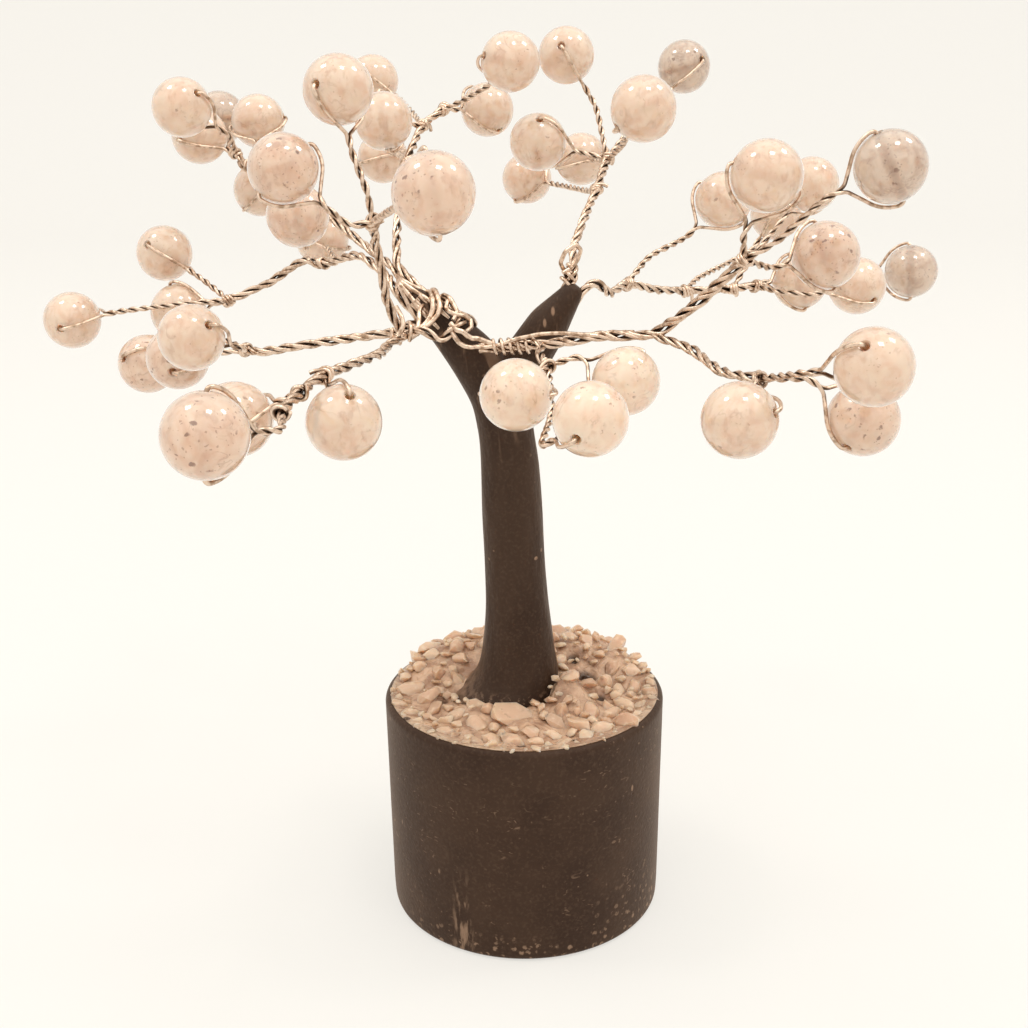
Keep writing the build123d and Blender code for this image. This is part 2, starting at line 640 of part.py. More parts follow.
with BuildPart() as branch:
    with BuildLine() as coil:
        wound_route(coil_place, 4 * coil_turns, coil_end, coil_end_way)
    round_bar(coil.wire(), wire_diameter)
    stem, start, thickness = stems["front_middle"]
    twigs_and_loops(stem, start, bead_shares["front_middle"], thickness)
branches["front_middle"] = branch.part
print("coil's least gap", least_gap(coil.wire(), wire_diameter, 6 * coil_radius))

# Beads: drilled quartz balls, each free to turn on its wire
beads = {}
bore_edge = bead_bore / 2 + bead_chamfer
edge_height = sqrt((bead_diameter / 2) ** 2 - bore_edge**2)
for name, rows in bead_shares.items():
    stem, start = stems[name][:2]
    for number, row in enumerate(rows, 1):
        middle, bore_way, neck_way = bead_frame(stem, start, row)[1:]
        with BuildPart() as bead:
            with BuildSketch(Plane(origin=middle, x_dir=neck_way, z_dir=neck_way.cross(bore_way))):
                with BuildLine():
                    RadiusArc((bore_edge, edge_height), (bore_edge, -edge_height), bead_diameter / 2)
                    Polyline(
                        (bore_edge, -edge_height),
                        (bead_bore / 2, bead_chamfer - edge_height),
                        (bead_bore / 2, edge_height - bead_chamfer),
                        (bore_edge, edge_height),
                    )
                make_face()
            revolve(axis=Axis(middle, bore_way))
        beads[f"bead_{name}_{number}"] = bead.part

pieces = [base_block.part, glue_bed.part, quartz_chips.part, trunk_coat.part, trunk_wire_bundle.part]
for name, branch_part in branches.items():
    branch_part.label = f"branch_{name}"
    pieces.append(branch_part)
for name, bead_part in beads.items():
    bead_part.label = name
    pieces.append(bead_part)
for piece in pieces:
    export_step(piece, f"parts/{piece.label}.step")
print(len(pieces), "pieces")
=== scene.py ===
import bmesh
import bpy
import numpy as np
from mathutils import Matrix


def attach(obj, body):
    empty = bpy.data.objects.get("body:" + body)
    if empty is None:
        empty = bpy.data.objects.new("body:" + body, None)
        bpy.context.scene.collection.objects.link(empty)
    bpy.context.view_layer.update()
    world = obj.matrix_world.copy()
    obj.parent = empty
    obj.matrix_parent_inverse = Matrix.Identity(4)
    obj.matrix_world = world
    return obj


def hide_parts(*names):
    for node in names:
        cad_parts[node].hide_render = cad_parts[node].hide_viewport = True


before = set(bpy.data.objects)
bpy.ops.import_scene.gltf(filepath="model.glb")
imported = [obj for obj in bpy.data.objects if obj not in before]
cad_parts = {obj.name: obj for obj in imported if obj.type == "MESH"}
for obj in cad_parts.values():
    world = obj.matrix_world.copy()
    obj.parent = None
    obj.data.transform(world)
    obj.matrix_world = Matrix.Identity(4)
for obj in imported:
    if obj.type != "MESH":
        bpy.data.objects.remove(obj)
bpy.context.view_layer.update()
mm = 0.001

# Camera: it stands in front of the tree, level with the top of the crown, and looks
# down on the base. It has a short portrait lens and is tilted by half a degree.
camera_place = np.array([-1.15, -175.0, 114.0]) * mm
camera_dip = 18.36
camera_roll = -0.58
film_width_mm = 36.0
lens_mm = 49.03
eye = bpy.data.cameras.new("front_camera")
eye.sensor_width = film_width_mm
eye.lens = lens_mm
camera = bpy.data.objects.new("front_camera", eye)
camera.matrix_world = (
    Matrix.Translation(camera_place)
    @ Matrix.Rotation(np.radians(90 - camera_dip), 4, "X")
    @ Matrix.Rotation(np.radians(camera_roll), 4, "Z")
)
bpy.context.scene.collection.objects.link(camera)
bpy.context.scene.camera = camera
bpy.context.scene.view_settings.view_transform = "Standard"


# Base block: a puck of turned wood with a recess for the chips, dipped in dark brown
# paint. The paint is satin, with small pits, and worn to pale specks near the foot.
base_radius = 19.0 * mm
base_height = 30.65 * mm
base_draw_in = 0.3 * mm
base_edge = 0.8 * mm
recess_radius = 17.5 * mm
recess_floor = 25.65 * mm
recess_edge = 0.25 * mm
base_middle = 0.5 * mm
base_dents = 0.12 * mm
knocked_height = 0.6 * mm
knocked_reach = 1.2 * mm
ripples = 14


def unevenness(turn, height, seed, steepest=500):
    """The mean of 14 ripples, from -1 to 1: each is the cosine of a whole number of waves round
    the piece, plus a number of waves up its height, from a seeded start."""
    chance = np.random.default_rng(seed)
    rounds = chance.integers(1, 10, ripples)
    rises = chance.uniform(-steepest, steepest, ripples)
    starts = chance.uniform(0, 2 * np.pi, ripples)
    return sum(np.cos(n * turn + k * height + s) for n, k, s in zip(rounds, rises, starts)) / ripples


def rounded_edge(middle, radius, first, last, count=7):
    """Places on an arc of a circle: the middle plus the radius times the cosine and sine."""
    turn = np.radians(np.linspace(first, last, count))
    return np.array(middle) + radius * np.stack([np.cos(turn), np.sin(turn)], axis=1)


def closed_skin(rings, tones=0.0):
    """Joins rings of points into a closed skin. Point j of ring i meets point j + 1 and ring
    i + 1 in a four-sided face, and triangles close each end on the middle of its ring. The tones,
    one for each point of the rings, tint the finish: a stone's own tone, or on a wire the shade
    painted on the inside of its twist."""
    count, around = rings.shape[:2]
    tones = np.broadcast_to(tones, (count, around))
    tones = np.r_[tones.ravel(), tones[0].mean(), tones[-1].mean()]
    points = np.concatenate([rings.reshape(-1, 3), rings[[0, -1]].mean(axis=1)])
    i, j = (grid.ravel() for grid in np.indices((count - 1, around)))
    k = (j + 1) % around
    quads = np.stack([i * around + j, i * around + k, (i + 1) * around + k, (i + 1) * around + j], 1)
    j = np.arange(around)
    k = (j + 1) % around
    first_middle, last_middle = np.full((2, around), count * around) + [[0], [1]]
    last = (count - 1) * around
    ends = np.stack([np.r_[first_middle, last_middle], np.r_[k, last + j], np.r_[j, last + k]], 1)
    return points, quads, ends, tones


def make_piece(name, skins, finish, replaced, body="tree", crease=180):
    """Puts closed skins into one mesh as whole arrays, four-sided faces first, and seats the
    piece on its body. Edges sharper than the crease, in degrees, stay sharp."""
    shifts = np.cumsum([0, *(len(skin[0]) for skin in skins)])
    points = np.concatenate([skin[0] for skin in skins])
    quads = np.concatenate([skin[1] + shift for skin, shift in zip(skins, shifts)])
    ends = np.concatenate([skin[2] + shift for skin, shift in zip(skins, shifts)])
    tones = np.concatenate([skin[3] for skin in skins])
    mesh = bpy.data.meshes.new(name)
    mesh.vertices.add(len(points))
    mesh.vertices.foreach_set("co", points.astype(np.float32).ravel())
    mesh.loops.add(quads.size + ends.size)
    mesh.loops.foreach_set("vertex_index", np.r_[quads.ravel(), ends.ravel()].astype(np.int32))
    mesh.polygons.add(len(quads) + len(ends))
    starts = np.r_[4 * np.arange(len(quads)), quads.size + 3 * np.arange(len(ends))]
    mesh.polygons.foreach_set("loop_start", starts.astype(np.int32))
    mesh.update(calc_edges=True)
    # The tone attribute holds each stone's own tone, and on wires the shade painted on the inside of each
    # twist.
    mesh.attributes.new("tone", "FLOAT", "POINT").data.foreach_set("value", tones.astype(np.float32))
    mesh.shade_smooth()
    if crease < 180:
        mesh.set_sharp_from_angle(angle=np.radians(crease))
    mesh.materials.append(finish)
    piece = bpy.data.objects.new(name, mesh)
    bpy.context.scene.collection.objects.link(piece)
    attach(piece, body)
    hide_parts(*replaced)
    return piece


def new_finish(name, **sockets):
    """A material whose shader has these values on its own sockets. Returns it with its shader,
    and the place on the object that its patterns are drawn by."""
    finish = bpy.data.materials.new(name)
    finish.use_nodes = True
    shader = finish.node_tree.nodes["Principled BSDF"]
    for socket, value in sockets.items():
        shader.inputs[socket.replace("_", " ")].default_value = value
    place = finish.node_tree.nodes.new("ShaderNodeTexCoord").outputs["Object"]
    return finish, shader, place


def join(value, node, socket):
    """Joins a value to a node's socket."""
    value.id_data.links.new(value, node.inputs[socket])


def add_node(beside, kind, inputs, **settings):
    """Adds a node to the tree that a socket is in, with these settings. It joins or sets the
    node's inputs and returns its outputs."""
    node = beside.id_data.nodes.new("ShaderNode" + kind)
    for name, value in settings.items():
        setattr(node, name, value)
    for key, value in inputs.items():
        if isinstance(value, bpy.types.NodeSocket):
            join(value, node, key)
        else:
            node.inputs[key].default_value = value
    return node.outputs


def between(value, low, high):
    """Rises smoothly from 0 to 1 as the value goes from low to high."""
    if low < high:
        ends = {"From Min": low, "From Max": high, "To Min": 0.0, "To Max": 1.0}
    else:
        ends = {"From Min": high, "From Max": low, "To Min": 1.0, "To Max": 0.0}
    return add_node(value, "MapRange", {"Value": value, **ends}, interpolation_type="SMOOTHSTEP")[0]


def own_place(place, shift, stretch):
    """The place moved by a seed's shift and scaled, so that each pattern has its own."""
    return add_node(place, "Mapping", {"Vector": place, "Location": shift, "Scale": stretch})[0]


def cloud(place, size, detail=4.0, seed=0.0, stretch=(1, 1, 1), distortion=0.0):
    """Soft noise from 0 to 1 with patches of about this size, drawn out where stretch is under 1."""
    moved = own_place(place, (seed, seed, -seed), stretch)
    noise = {"Vector": moved, "Scale": 1 / size, "Detail": detail, "Distortion": distortion}
    return add_node(place, "TexNoise", noise)["Fac"]


def patches(place, size, low, high, **kind):
    """Patches of soft noise: 0 where it is under the low value, and 1 where it is over the high one."""
    return between(cloud(place, size, **kind), low, high)


def specks(place, size, reach, seed=0.0, stretch=(1, 1, 1)):
    """1 within a share, the reach, of the nearest seeded point, and 0 between the specks."""
    moved = own_place(place, (seed, -seed, seed), stretch)
    cells = add_node(place, "TexVoronoi", {"Vector": moved, "Scale": 1 / size})
    return between(cells["Distance"], reach, reach * 0.6)


def joined_by(operation, first, *others):
    """Works several masks into one, two at a time."""
    for other in others:
        first = add_node(first, "Math", {0: first, 1: other}, operation=operation)[0]
    return first


def times(*values):
    """The product of several masks."""
    return joined_by("MULTIPLY", *values)


def most_of(*values):
    """The largest of several masks."""
    return joined_by("MAXIMUM", *values)


def blended(share, under, over):
    """One colour over another, by a mask."""
    return add_node(share, "Mix", {0: share, 6: under, 7: over}, data_type="RGBA")[2]


def roughened(shader, pattern, least, most):
    """Lets a pattern set the roughness, from the least to the most."""
    spread = add_node(pattern, "MapRange", {"Value": pattern, "To Min": least, "To Max": most})[0]
    join(spread, shader, "Roughness")


def raised(shader, height, depth):
    """Lets a pattern stand up from the surface by so much."""
    bump = add_node(height, "Bump", {"Height": height, "Distance": depth, "Strength": 1.0})[0]
    join(bump, shader, "Normal")


foot_radius = base_radius - base_draw_in
base_profile = np.concatenate([
    np.linspace([base_middle, 0], [foot_radius - base_edge, 0], 6)[:-1],
    rounded_edge([foot_radius - base_edge, base_edge], base_edge, -90, 0)[:-1],
    np.linspace([foot_radius, base_edge], [base_radius, base_height - base_edge], 60),
    rounded_edge([base_radius - base_edge, base_height - base_edge], base_edge, 0, 90)[1:],
    np.linspace([recess_radius + recess_edge, base_height], [recess_radius, base_height - recess_edge], 3),
    np.linspace([recess_radius, recess_floor], [base_middle, recess_floor], 5),
])
turn = np.linspace(0, 2 * np.pi, 180, endpoint=False)
radius, height = base_profile[:, :1], base_profile[:, 1:]
outside = (radius > recess_radius + 1.2 * recess_edge) & (height > 0)
near_edge = np.exp(-((height - knocked_height) / knocked_reach) ** 2)
worn = base_dents * (0.35 + near_edge) * (0.55 + 0.45 * unevenness(turn, height, 3)) * outside
base_rings = np.stack([
    (radius - worn) * np.cos(turn),
    (radius - worn) * np.sin(turn),
    height + 0 * turn + 0.4 * near_edge * worn,
], axis=-1)

base_paint, shader, place = new_finish(
    "dark_brown_base_paint", Roughness=0.5, IOR=1.5, Specular_IOR_Level=0.16, Sheen_Weight=0.12,
    Sheen_Roughness=0.45, Sheen_Tint=(1.0, 0.66, 0.42, 1))
axes = add_node(place, "SeparateXYZ", {0: place})
patch = patches(place, 9 * mm, 0.35, 0.65, seed=0.3)
coat = blended(patch, (0.033, 0.0150, 0.0080, 1), (0.047, 0.0235, 0.0130, 1))
dust = patches(place, 0.45 * mm, 0.45, 0.8, detail=3.0, seed=0.33)
coat = blended(times(dust, 0.5), coat, (0.085, 0.050, 0.031, 1))
low = between(axes[2], 12 * mm, 1 * mm)
right_foot = times(low, between(axes[0], 4 * mm, 15 * mm))
front_foot = times(between(axes[2], 4.5 * mm, 1.5 * mm), between(axes[1], -8 * mm, -16 * mm))
loose = patches(place, 5 * mm, 0.56, 0.70, seed=0.7)
streak_side = times(between(axes[0], -10.2 * mm, -8.9 * mm), between(axes[0], -6.6 * mm, -7.9 * mm))
streak = times(
    streak_side, between(axes[2], 14 * mm, 5 * mm), between(axes[1], -2 * mm, -9 * mm),
    patches(place, 1.1 * mm, 0.47, 0.62, seed=0.2, stretch=(1.6, 1.6, 0.35)))
ragged = patches(place, 0.7 * mm, 0.44, 0.58, detail=5.0, seed=0.44)
chipped = times(specks(place, 1.1 * mm, 0.42, seed=0.4), ragged, most_of(right_foot, front_foot))
rubbed_side = most_of(times(between(axes[0], 6 * mm, 17 * mm), 0.75), loose, times(low, 0.5))
dusted = times(specks(place, 1.2 * mm, 0.15, seed=0.9), ragged, rubbed_side)
drag = times(specks(place, 1.6 * mm, 0.17, seed=0.6, stretch=(1, 1, 0.45)), loose)
hairs = cloud(place, 1.5 * mm, detail=3.0, seed=1.2, stretch=(1, 1, 2.2), distortion=1.2)
scuffs = times(between(hairs, 0.635, 0.70), patches(place, 7 * mm, 0.45, 0.6, seed=1.9), 0.5)
worn_through = times(most_of(chipped, dusted, drag, streak, scuffs), 0.8)
join(blended(worn_through, coat, (0.30, 0.19, 0.125, 1)), shader, "Base Color")
grain = cloud(place, 0.5 * mm, detail=6.0)
roughened(shader, grain, 0.42, 0.6)
pits = times(specks(place, 1.5 * mm, 0.16, seed=1.3), loose)
raised(shader, joined_by("SUBTRACT", grain, pits), 0.05 * mm)
make_piece("turned_base", [closed_skin(base_rings)], base_paint, ["base_block"], crease=50)


# Glue bed: clear glue poured over the chips and set into a low heap. It is higher behind
# the trunk and at the right of its foot. Only its skin shows, between the chips, and in a
# few hollows, each given by its place and its radius. Painted shade darkens the glue nearly
# to black in each hollow.
glue_dip = 0.75 * mm
glue_radius = recess_radius - 0.03 * mm
glue_spill = base_radius - 0.75 * mm
glue_film = 0.02 * mm
glue_middle = 0.4 * mm
foot_crack = 1.9 * mm
crack_run = 4.0 * mm
rim_lift = 0.12 * mm
rim_start = 14.5 * mm
rim_run = 3.0 * mm
hollows = np.array([
    (6.9, 4.8, 1.1), (8.6, 1.6, 1.5), (6.1, -14.6, 0.7), (-15.5, -9.0, 0.6), (-4.4, -12.7, 0.7),
    (-0.5, -16.2, 0.8), (10.4, -2.6, 0.7), (-11.0, -3.2, 0.8), (3.4, -12.0, 0.5), (13.0, -8.0, 0.5),
]) * mm
hollow_level = 31.0 * mm
foot_middle = np.array([-2.3, 0.0]) * mm
foot_half = np.array([7.0, 6.5]) * mm
heap_lift = 0.1 * mm
heap_edge = 18.7 * mm
heap_slope = 5.0 * mm
back_bank = 3.4 * mm
back_bank_start = -2.0 * mm
back_bank_run = 11.0 * mm
apron = 1.1 * mm
apron_edge = 16.0 * mm
apron_run = 8.0 * mm
right_bank = 3.3 * mm
right_bank_middle = np.array([5.3, -3.2]) * mm
right_bank_spread = 2.5 * mm
heap_ripple = 0.2 * mm


def mound(x, y, middle, spread):
    """A round hill, 1 at its middle: e to the power of minus the distance over the spread, squared."""
    return np.exp(-((x - middle[0]) ** 2 + (y - middle[1]) ** 2) / spread**2)


def heap_height(x, y):
    """The height of the chips' heap: the rim, an apron that rises to the foot, a bank that rises
    behind the trunk and falls again to the rim, a small bank at the right, and slow ripples."""
    out = np.hypot(x, y)
    behind = np.clip((y - back_bank_start) / back_bank_run, 0, 1)
    inside = np.clip((heap_edge - out) / heap_slope, 0, 1)
    bank = back_bank * behind**2 * (3 - 2 * behind) * inside * (2 - inside)
    bank += right_bank * mound(x, y, right_bank_middle, right_bank_spread)
    bank += apron * np.clip((apron_edge - out) / apron_run, 0, 1)
    ripple = heap_ripple * (np.sin(900 * x + 1.3) + np.cos(1100 * y + 700 * x))
    return base_height + heap_lift + bank + ripple * inside


def off_foot(x, y):
    """How far outside the foot's oval a place is, in shares of the oval's half width."""
    return np.hypot((x - foot_middle[0]) / foot_half[0], (y - foot_middle[1]) / foot_half[1]) - 1


def mark(place, middle, outer, inner, scale, lean=0.0):
    """1 up to the inner distance from a place and 0 past the outer one, in an oval that is drawn
    out where its scale is under 1, and leans."""
    aside = add_node(place, "VectorMath", {0: place, 1: tuple(middle)}, operation="SUBTRACT")[0]
    oval = add_node(place, "Mapping", {"Vector": aside, "Rotation": (0, -lean, 0), "Scale": scale})[0]
    return between(add_node(place, "VectorMath", {0: oval}, operation="LENGTH")["Value"], outer, inner)


under = np.linspace(glue_middle, glue_radius, 12)
over = np.linspace(glue_spill, glue_middle, 60)
glue_out = np.r_[under, glue_radius, glue_spill, over][:, None]
turn = np.linspace(0, 2 * np.pi, 140, endpoint=False)
glue_x, glue_y = glue_out * np.cos(turn), glue_out * np.sin(turn)
crack = foot_crack * np.exp(-(off_foot(glue_x, glue_y) / 0.09) ** 2) * np.clip(-glue_y / crack_run, 0, 1)
glue_top = heap_height(glue_x, glue_y) - glue_dip - crack
for x, y, size in hollows:
    glue_top -= 1.3 * size * mound(glue_x, glue_y, (x, y), 0.8 * size)
near_rim = np.clip((np.hypot(glue_x, glue_y) - rim_start) / rim_run, 0, 1)
glue_top += near_rim * np.maximum(0, base_height + rim_lift - glue_top)
ring = np.arange(len(glue_out))[:, None]
glue_z = np.select([ring < len(under), ring < len(under) + 2],
                   [recess_floor + glue_film, base_height + glue_film], glue_top)

glue_skin, shader, place = new_finish(
    "clear_set_glue", Roughness=0.2, IOR=1.47, Specular_IOR_Level=0.4, Subsurface_Weight=0.3,
    Subsurface_Scale=1.2 * mm, Subsurface_Radius=(1.0, 0.7, 0.5))
glue_tone = patches(place, 2.2 * mm, 0.35, 0.6, seed=0.5)
glue_colour = blended(glue_tone, (0.37, 0.215, 0.135, 1), (0.60, 0.395, 0.265, 1))
# Painted shade: the glue goes nearly black in and around each hollow.
dark = most_of(*(
    mark(place, (x, y, hollow_level), 1.15 * size, 0.6 * size, (1, 1, 0.3)) for x, y, size in hollows))
join(blended(dark, glue_colour, (0.07, 0.036, 0.02, 1)), shader, "Base Color")
raised(shader, cloud(place, 1.4 * mm, detail=3.0, seed=0.1, distortion=0.5), 0.9 * mm)
glue_rings = np.stack([glue_x, glue_y, glue_z], axis=-1)
make_piece("set_glue", [closed_skin(glue_rings)], glue_skin, ["glue_bed"])


# Quartz chips: crushed pale quartz, about 250 broken stones of all sizes that lie flat
# in the glue, fill it out over the rim and hide the foot's lower edge. The slab in front
# of the foot and 21 other stones are placed one by one, by place and half width.
stone_shapes = 12
stone_edge = 18.6 * mm
stone_sizes = [(2.8 * mm, 60), (2.1 * mm, 180), (1.5 * mm, 420), (1.0 * mm, 800), (0.6 * mm, 900)]
closeness = 0.62
sunk_share = 0.44
slab_spin = 0.03
placed_tones = (0.55, 0.5, 0.95, 0.9, 1.0, 0.95)
placed_stones = np.array([
    (-0.8, -9.3, 3.9), (-6.4, -10.2, 2.4), (-10.6, -8.9, 1.35), (-7.2, -13.8, 1.35), (3.0, -15.7, 1.1),
    (5.0, -17.2, 0.75), (3.4, -5.9, 1.1), (6.2, -3.6, 1.9), (5.0, -8.2, 2.0), (8.8, -6.8, 2.3),
    (6.6, 0.4, 1.9), (9.8, -11.6, 1.9), (-12.4, -5.6, 1.9), (-1.6, -14.6, 2.0), (-9.4, 1.2, 1.6),
    (-8.8, 4.6, 1.9), (-12.2, 2.6, 2.0), (-11.9, -0.6, 1.4), (-12.6, 6.2, 1.8), (-5.6, 7.6, 1.7),
    (12.4, 3.2, 2.2), (13.2, -4.6, 1.9),
]) * mm


def broken_stone(chance, corners, flat):
    """A stone: the hull of seeded points on a ball that is flatter than it is wide."""
    points = chance.normal(size=(corners, 3))
    points /= np.linalg.norm(points, axis=1, keepdims=True)
    points *= chance.uniform(0.85, 1.0, (corners, 1))
    points *= chance.uniform([0.9, 0.62, flat], [1.1, 0.85, flat + 0.15])
    hull = bmesh.new()
    for point in points:
        hull.verts.new(point)
    bmesh.ops.convex_hull(hull, input=hull.verts)
    bmesh.ops.recalc_face_normals(hull, faces=hull.faces)
    loose = [vert for vert in hull.verts if not vert.link_faces]
    bmesh.ops.delete(hull, geom=loose, context="VERTS")
    hull.verts.index_update()
    corners = np.array([vert.co[:] for vert in hull.verts])
    faces = np.array([[vert.index for vert in face.verts] for face in hull.faces])
    hull.free()
    return corners, faces


chance = np.random.default_rng(11)
stones = placed_stones
for size, tries in stone_sizes:
    outs = stone_edge * np.sqrt(chance.uniform(0, 1, tries))
    for out, angle in zip(outs, chance.uniform(0, 2 * np.pi, tries)):
        x, y = out * np.cos(angle), out * np.sin(angle)
        half = size * chance.uniform(0.8, 1.15)
        clear_of_foot = off_foot(x, y) * foot_half[1] > closeness * half
        apart = np.hypot(stones[:, 0] - x, stones[:, 1] - y) > closeness * (stones[:, 2] + half)
        in_hollow = np.hypot(hollows[:, 0] - x, hollows[:, 1] - y) < hollows[:, 2] + 0.55 * half
        if clear_of_foot and out + 0.8 * half < stone_edge and apart.all() and not in_hollow.any():
            stones = np.vstack([stones, (x, y, half)])
shapes = [broken_stone(chance, 16 + 14 * (kind % 2), 0.36 + 0.1 * (kind % 3)) for kind in range(stone_shapes)]
stone_x, stone_y, stone_half = stones.T
spin = chance.uniform(0, 2 * np.pi, len(stones))
spin[0] = slab_spin
tilt = chance.uniform(-0.4, 0.4, (2, len(stones)))
cos, sin = np.cos(spin), np.sin(spin)
turns = np.stack([
    cos, -sin, tilt[0],
    sin, cos, tilt[1],
    -cos * tilt[0] - sin * tilt[1], sin * tilt[0] - cos * tilt[1], 1 + 0 * cos,
], axis=1).reshape(-1, 3, 3)
sunk = (sunk_share + chance.uniform(-0.14, 0.1, len(stones))) * stone_half
stone_z = heap_height(stone_x, stone_y) - sunk
over_rim = np.hypot(stone_x, stone_y) > recess_radius - 0.4 * stone_half
stone_z = np.where(over_rim, np.maximum(stone_z, base_height - 0.05 * stone_half), stone_z)
stone_tone = chance.uniform(0, 1, len(stones))
stone_tone[:len(placed_tones)] = placed_tones
stone_places = np.column_stack([stone_x, stone_y, stone_z])
stone_skins = []
for kind, (corners, faces) in enumerate(shapes):
    mine = np.arange(kind, len(stones), stone_shapes)
    points = np.einsum("nij,kj->nki", turns[mine], corners) * stone_half[mine][:, None, None]
    points += stone_places[mine][:, None]
    shifted = faces[None] + len(corners) * np.arange(len(mine))[:, None, None]
    tones = np.repeat(stone_tone[mine], len(corners))
    stone_skins.append((points.reshape(-1, 3), np.empty((0, 4), int), shifted.reshape(-1, 3), tones))

chip_stone, shader, place = new_finish(
    "pale_broken_quartz", Roughness=0.3, IOR=1.54, Specular_IOR_Level=0.4, Subsurface_Weight=0.7,
    Subsurface_Scale=2.0 * mm, Subsurface_Radius=(1.0, 0.75, 0.55), Transmission_Weight=0.08)
own = add_node(place, "Attribute", {}, attribute_name="tone")["Fac"]
chip_colour = blended(own, (0.56, 0.345, 0.225, 1), (0.73, 0.51, 0.36, 1))
chip_milk = patches(place, 0.9 * mm, 0.5, 0.75, seed=0.2)
chip_colour = blended(times(chip_milk, 0.7), chip_colour, (0.80, 0.62, 0.47, 1))
chip_flaw = patches(place, 1.3 * mm, 0.60, 0.72, detail=6.0, seed=0.7)
chip_colour = blended(times(chip_flaw, 0.7), chip_colour, (0.36, 0.205, 0.125, 1))
join(chip_colour, shader, "Base Color")
raised(shader, cloud(place, 0.5 * mm), 0.08 * mm)
make_piece("crushed_quartz", stone_skins, chip_stone, ["quartz_chips"], crease=40)


# Trunk: modelling compound pressed round the bundle of wires, smoothed by hand and
# painted dark brown. It flares at the foot and forks once, and each limb ends round
# its wires. Each row is a height, a middle and a width, in shares of rise and diameter.
trunk_diameter = 8.0 * mm
trunk_foot = 28.6 * mm
trunk_rise = 44.9 * mm
trunk_depth_share = 0.93
trunk_rows = np.array([
    (0.0, -0.40, 2.0), (0.038, -0.33, 1.78), (0.072, -0.2, 1.55), (0.114, -0.1, 1.39),
    (0.169, -0.09, 1.25), (0.25, -0.095, 1.15), (0.34, -0.11, 1.05), (0.47, -0.14, 1.0),
    (0.61, -0.175, 1.01), (0.77, -0.2, 0.94), (0.85, -0.245, 0.89),
])
fork = np.array([-2.4, 0.0, 73.5]) * mm
left_tip = np.array([-13.2, 0.0, 84.6]) * mm
right_tip = np.array([6.6, 0.0, 85.3]) * mm
left_end = np.array([9.5, 3.15, 1.5]) * mm
right_end = np.array([5.2, 2.65, 1.45]) * mm
limb_steps = 150
remesh_grain = 0.24 * mm

# Where the coat parts into its limbs, in mm and radians: the middle's x and z, the lean of
# the ring's plane, and its half width and half depth
left_parting = (-2.8, 72.15, 0.38, 3.68, 3.42)
right_partings = [(-1.96, 66.8, 0.0, 3.2, 3.0), (-1.6, 73.5, -0.38, 3.2, 3.1)]

# Two dashes of painted highlight on the right limb, in mm: the middle and the half length
highlight_dashes = [((3.94, -2.6, 83.1), 0.62), ((2.9, -2.7, 81.7), 0.55)]


def unit(way):
    """A way at length one."""
    way = np.asarray(way, float)
    return way / np.linalg.norm(way, axis=-1, keepdims=True)


def limb_rings(rows, seed):
    """Rings along a limb. Each row is the middle's x and z, the lean of the ring's plane, and its
    half width and half depth. The rows are joined by straight shares, softened over a few
    steps, and swelled and pinched a little by ripples."""
    at = np.linspace(0, len(rows) - 1, limb_steps)
    fine = np.stack([np.interp(at, np.arange(len(rows)), column) for column in np.transpose(rows)], axis=1)
    for _ in range(14):
        fine[1:-1] = (fine[:-2] + 2 * fine[1:-1] + fine[2:]) / 4
    x, z, lean, half_width, half_depth = fine.T[:, :, None]
    turn = np.linspace(0, 2 * np.pi, 72, endpoint=False)
    swell = 1 + 0.035 * unevenness(turn, z, seed, steepest=420)
    across, y = half_width * swell * np.cos(turn), half_depth * swell * np.sin(turn)
    return np.stack([x + across * np.cos(lean), y, z + across * np.sin(lean)], -1)


def limb_end(tip, way, cone, half_limb, half_tip):
    """A limb's rows: where its cone starts, its tip, and the rounded end just past it."""
    rows = [(-cone, half_limb), (-0.4 * mm, half_tip), (0.3 * mm, 0.88 * half_tip),
            (0.75 * mm, 0.55 * half_tip)]
    lean = np.arctan2(-way[0], way[2])
    return [(tip[0] + way[0] * along, tip[2] + way[2] * along, lean, half, half) for along, half in rows]


left_way, right_way = unit(left_tip - fork), unit(right_tip - fork)
in_metres = np.array([mm, mm, 1, mm, mm])
left_rows = [
    (trunk_diameter * shift, trunk_foot + trunk_rise * rise, 0.0, trunk_diameter * width / 2,
     trunk_diameter * width / 2 * trunk_depth_share)
    for rise, shift, width in trunk_rows
]
left_rows += [left_parting * in_metres, *limb_end(left_tip, left_way, *left_end)]
right_rows = [*(right_partings * in_metres), *limb_end(right_tip, right_way, *right_end)]

trunk_paint, shader, place = new_finish(
    "dark_brown_trunk_paint", Roughness=0.5, IOR=1.5, Specular_IOR_Level=0.16, Sheen_Weight=0.1,
    Sheen_Roughness=0.45, Sheen_Tint=(1.0, 0.66, 0.42, 1))
axes = add_node(place, "SeparateXYZ", {0: place})
smear = patches(place, 1.8 * mm, 0.55, 0.68, seed=0.55, stretch=(1, 1, 0.2), distortion=0.6)
rubbed = times(smear, between(axes[2], 62 * mm, 70 * mm), 0.35)
patch = patches(place, 5 * mm, 0.35, 0.65, seed=0.25, stretch=(1, 1, 0.4))
coat = blended(patch, (0.034, 0.0165, 0.0092, 1), (0.048, 0.0255, 0.015, 1))
dust = patches(place, 0.4 * mm, 0.45, 0.8, detail=3.0, seed=0.33)
coat = blended(times(dust, 0.4), coat, (0.10, 0.062, 0.04, 1))
crumbs = patches(place, 0.6 * mm, 0.54, 0.62, detail=4.0, seed=0.15)
crumbled = times(crumbs, between(axes[2], 32.8 * mm, 31.2 * mm), between(axes[1], 0, -4 * mm), 0.6)
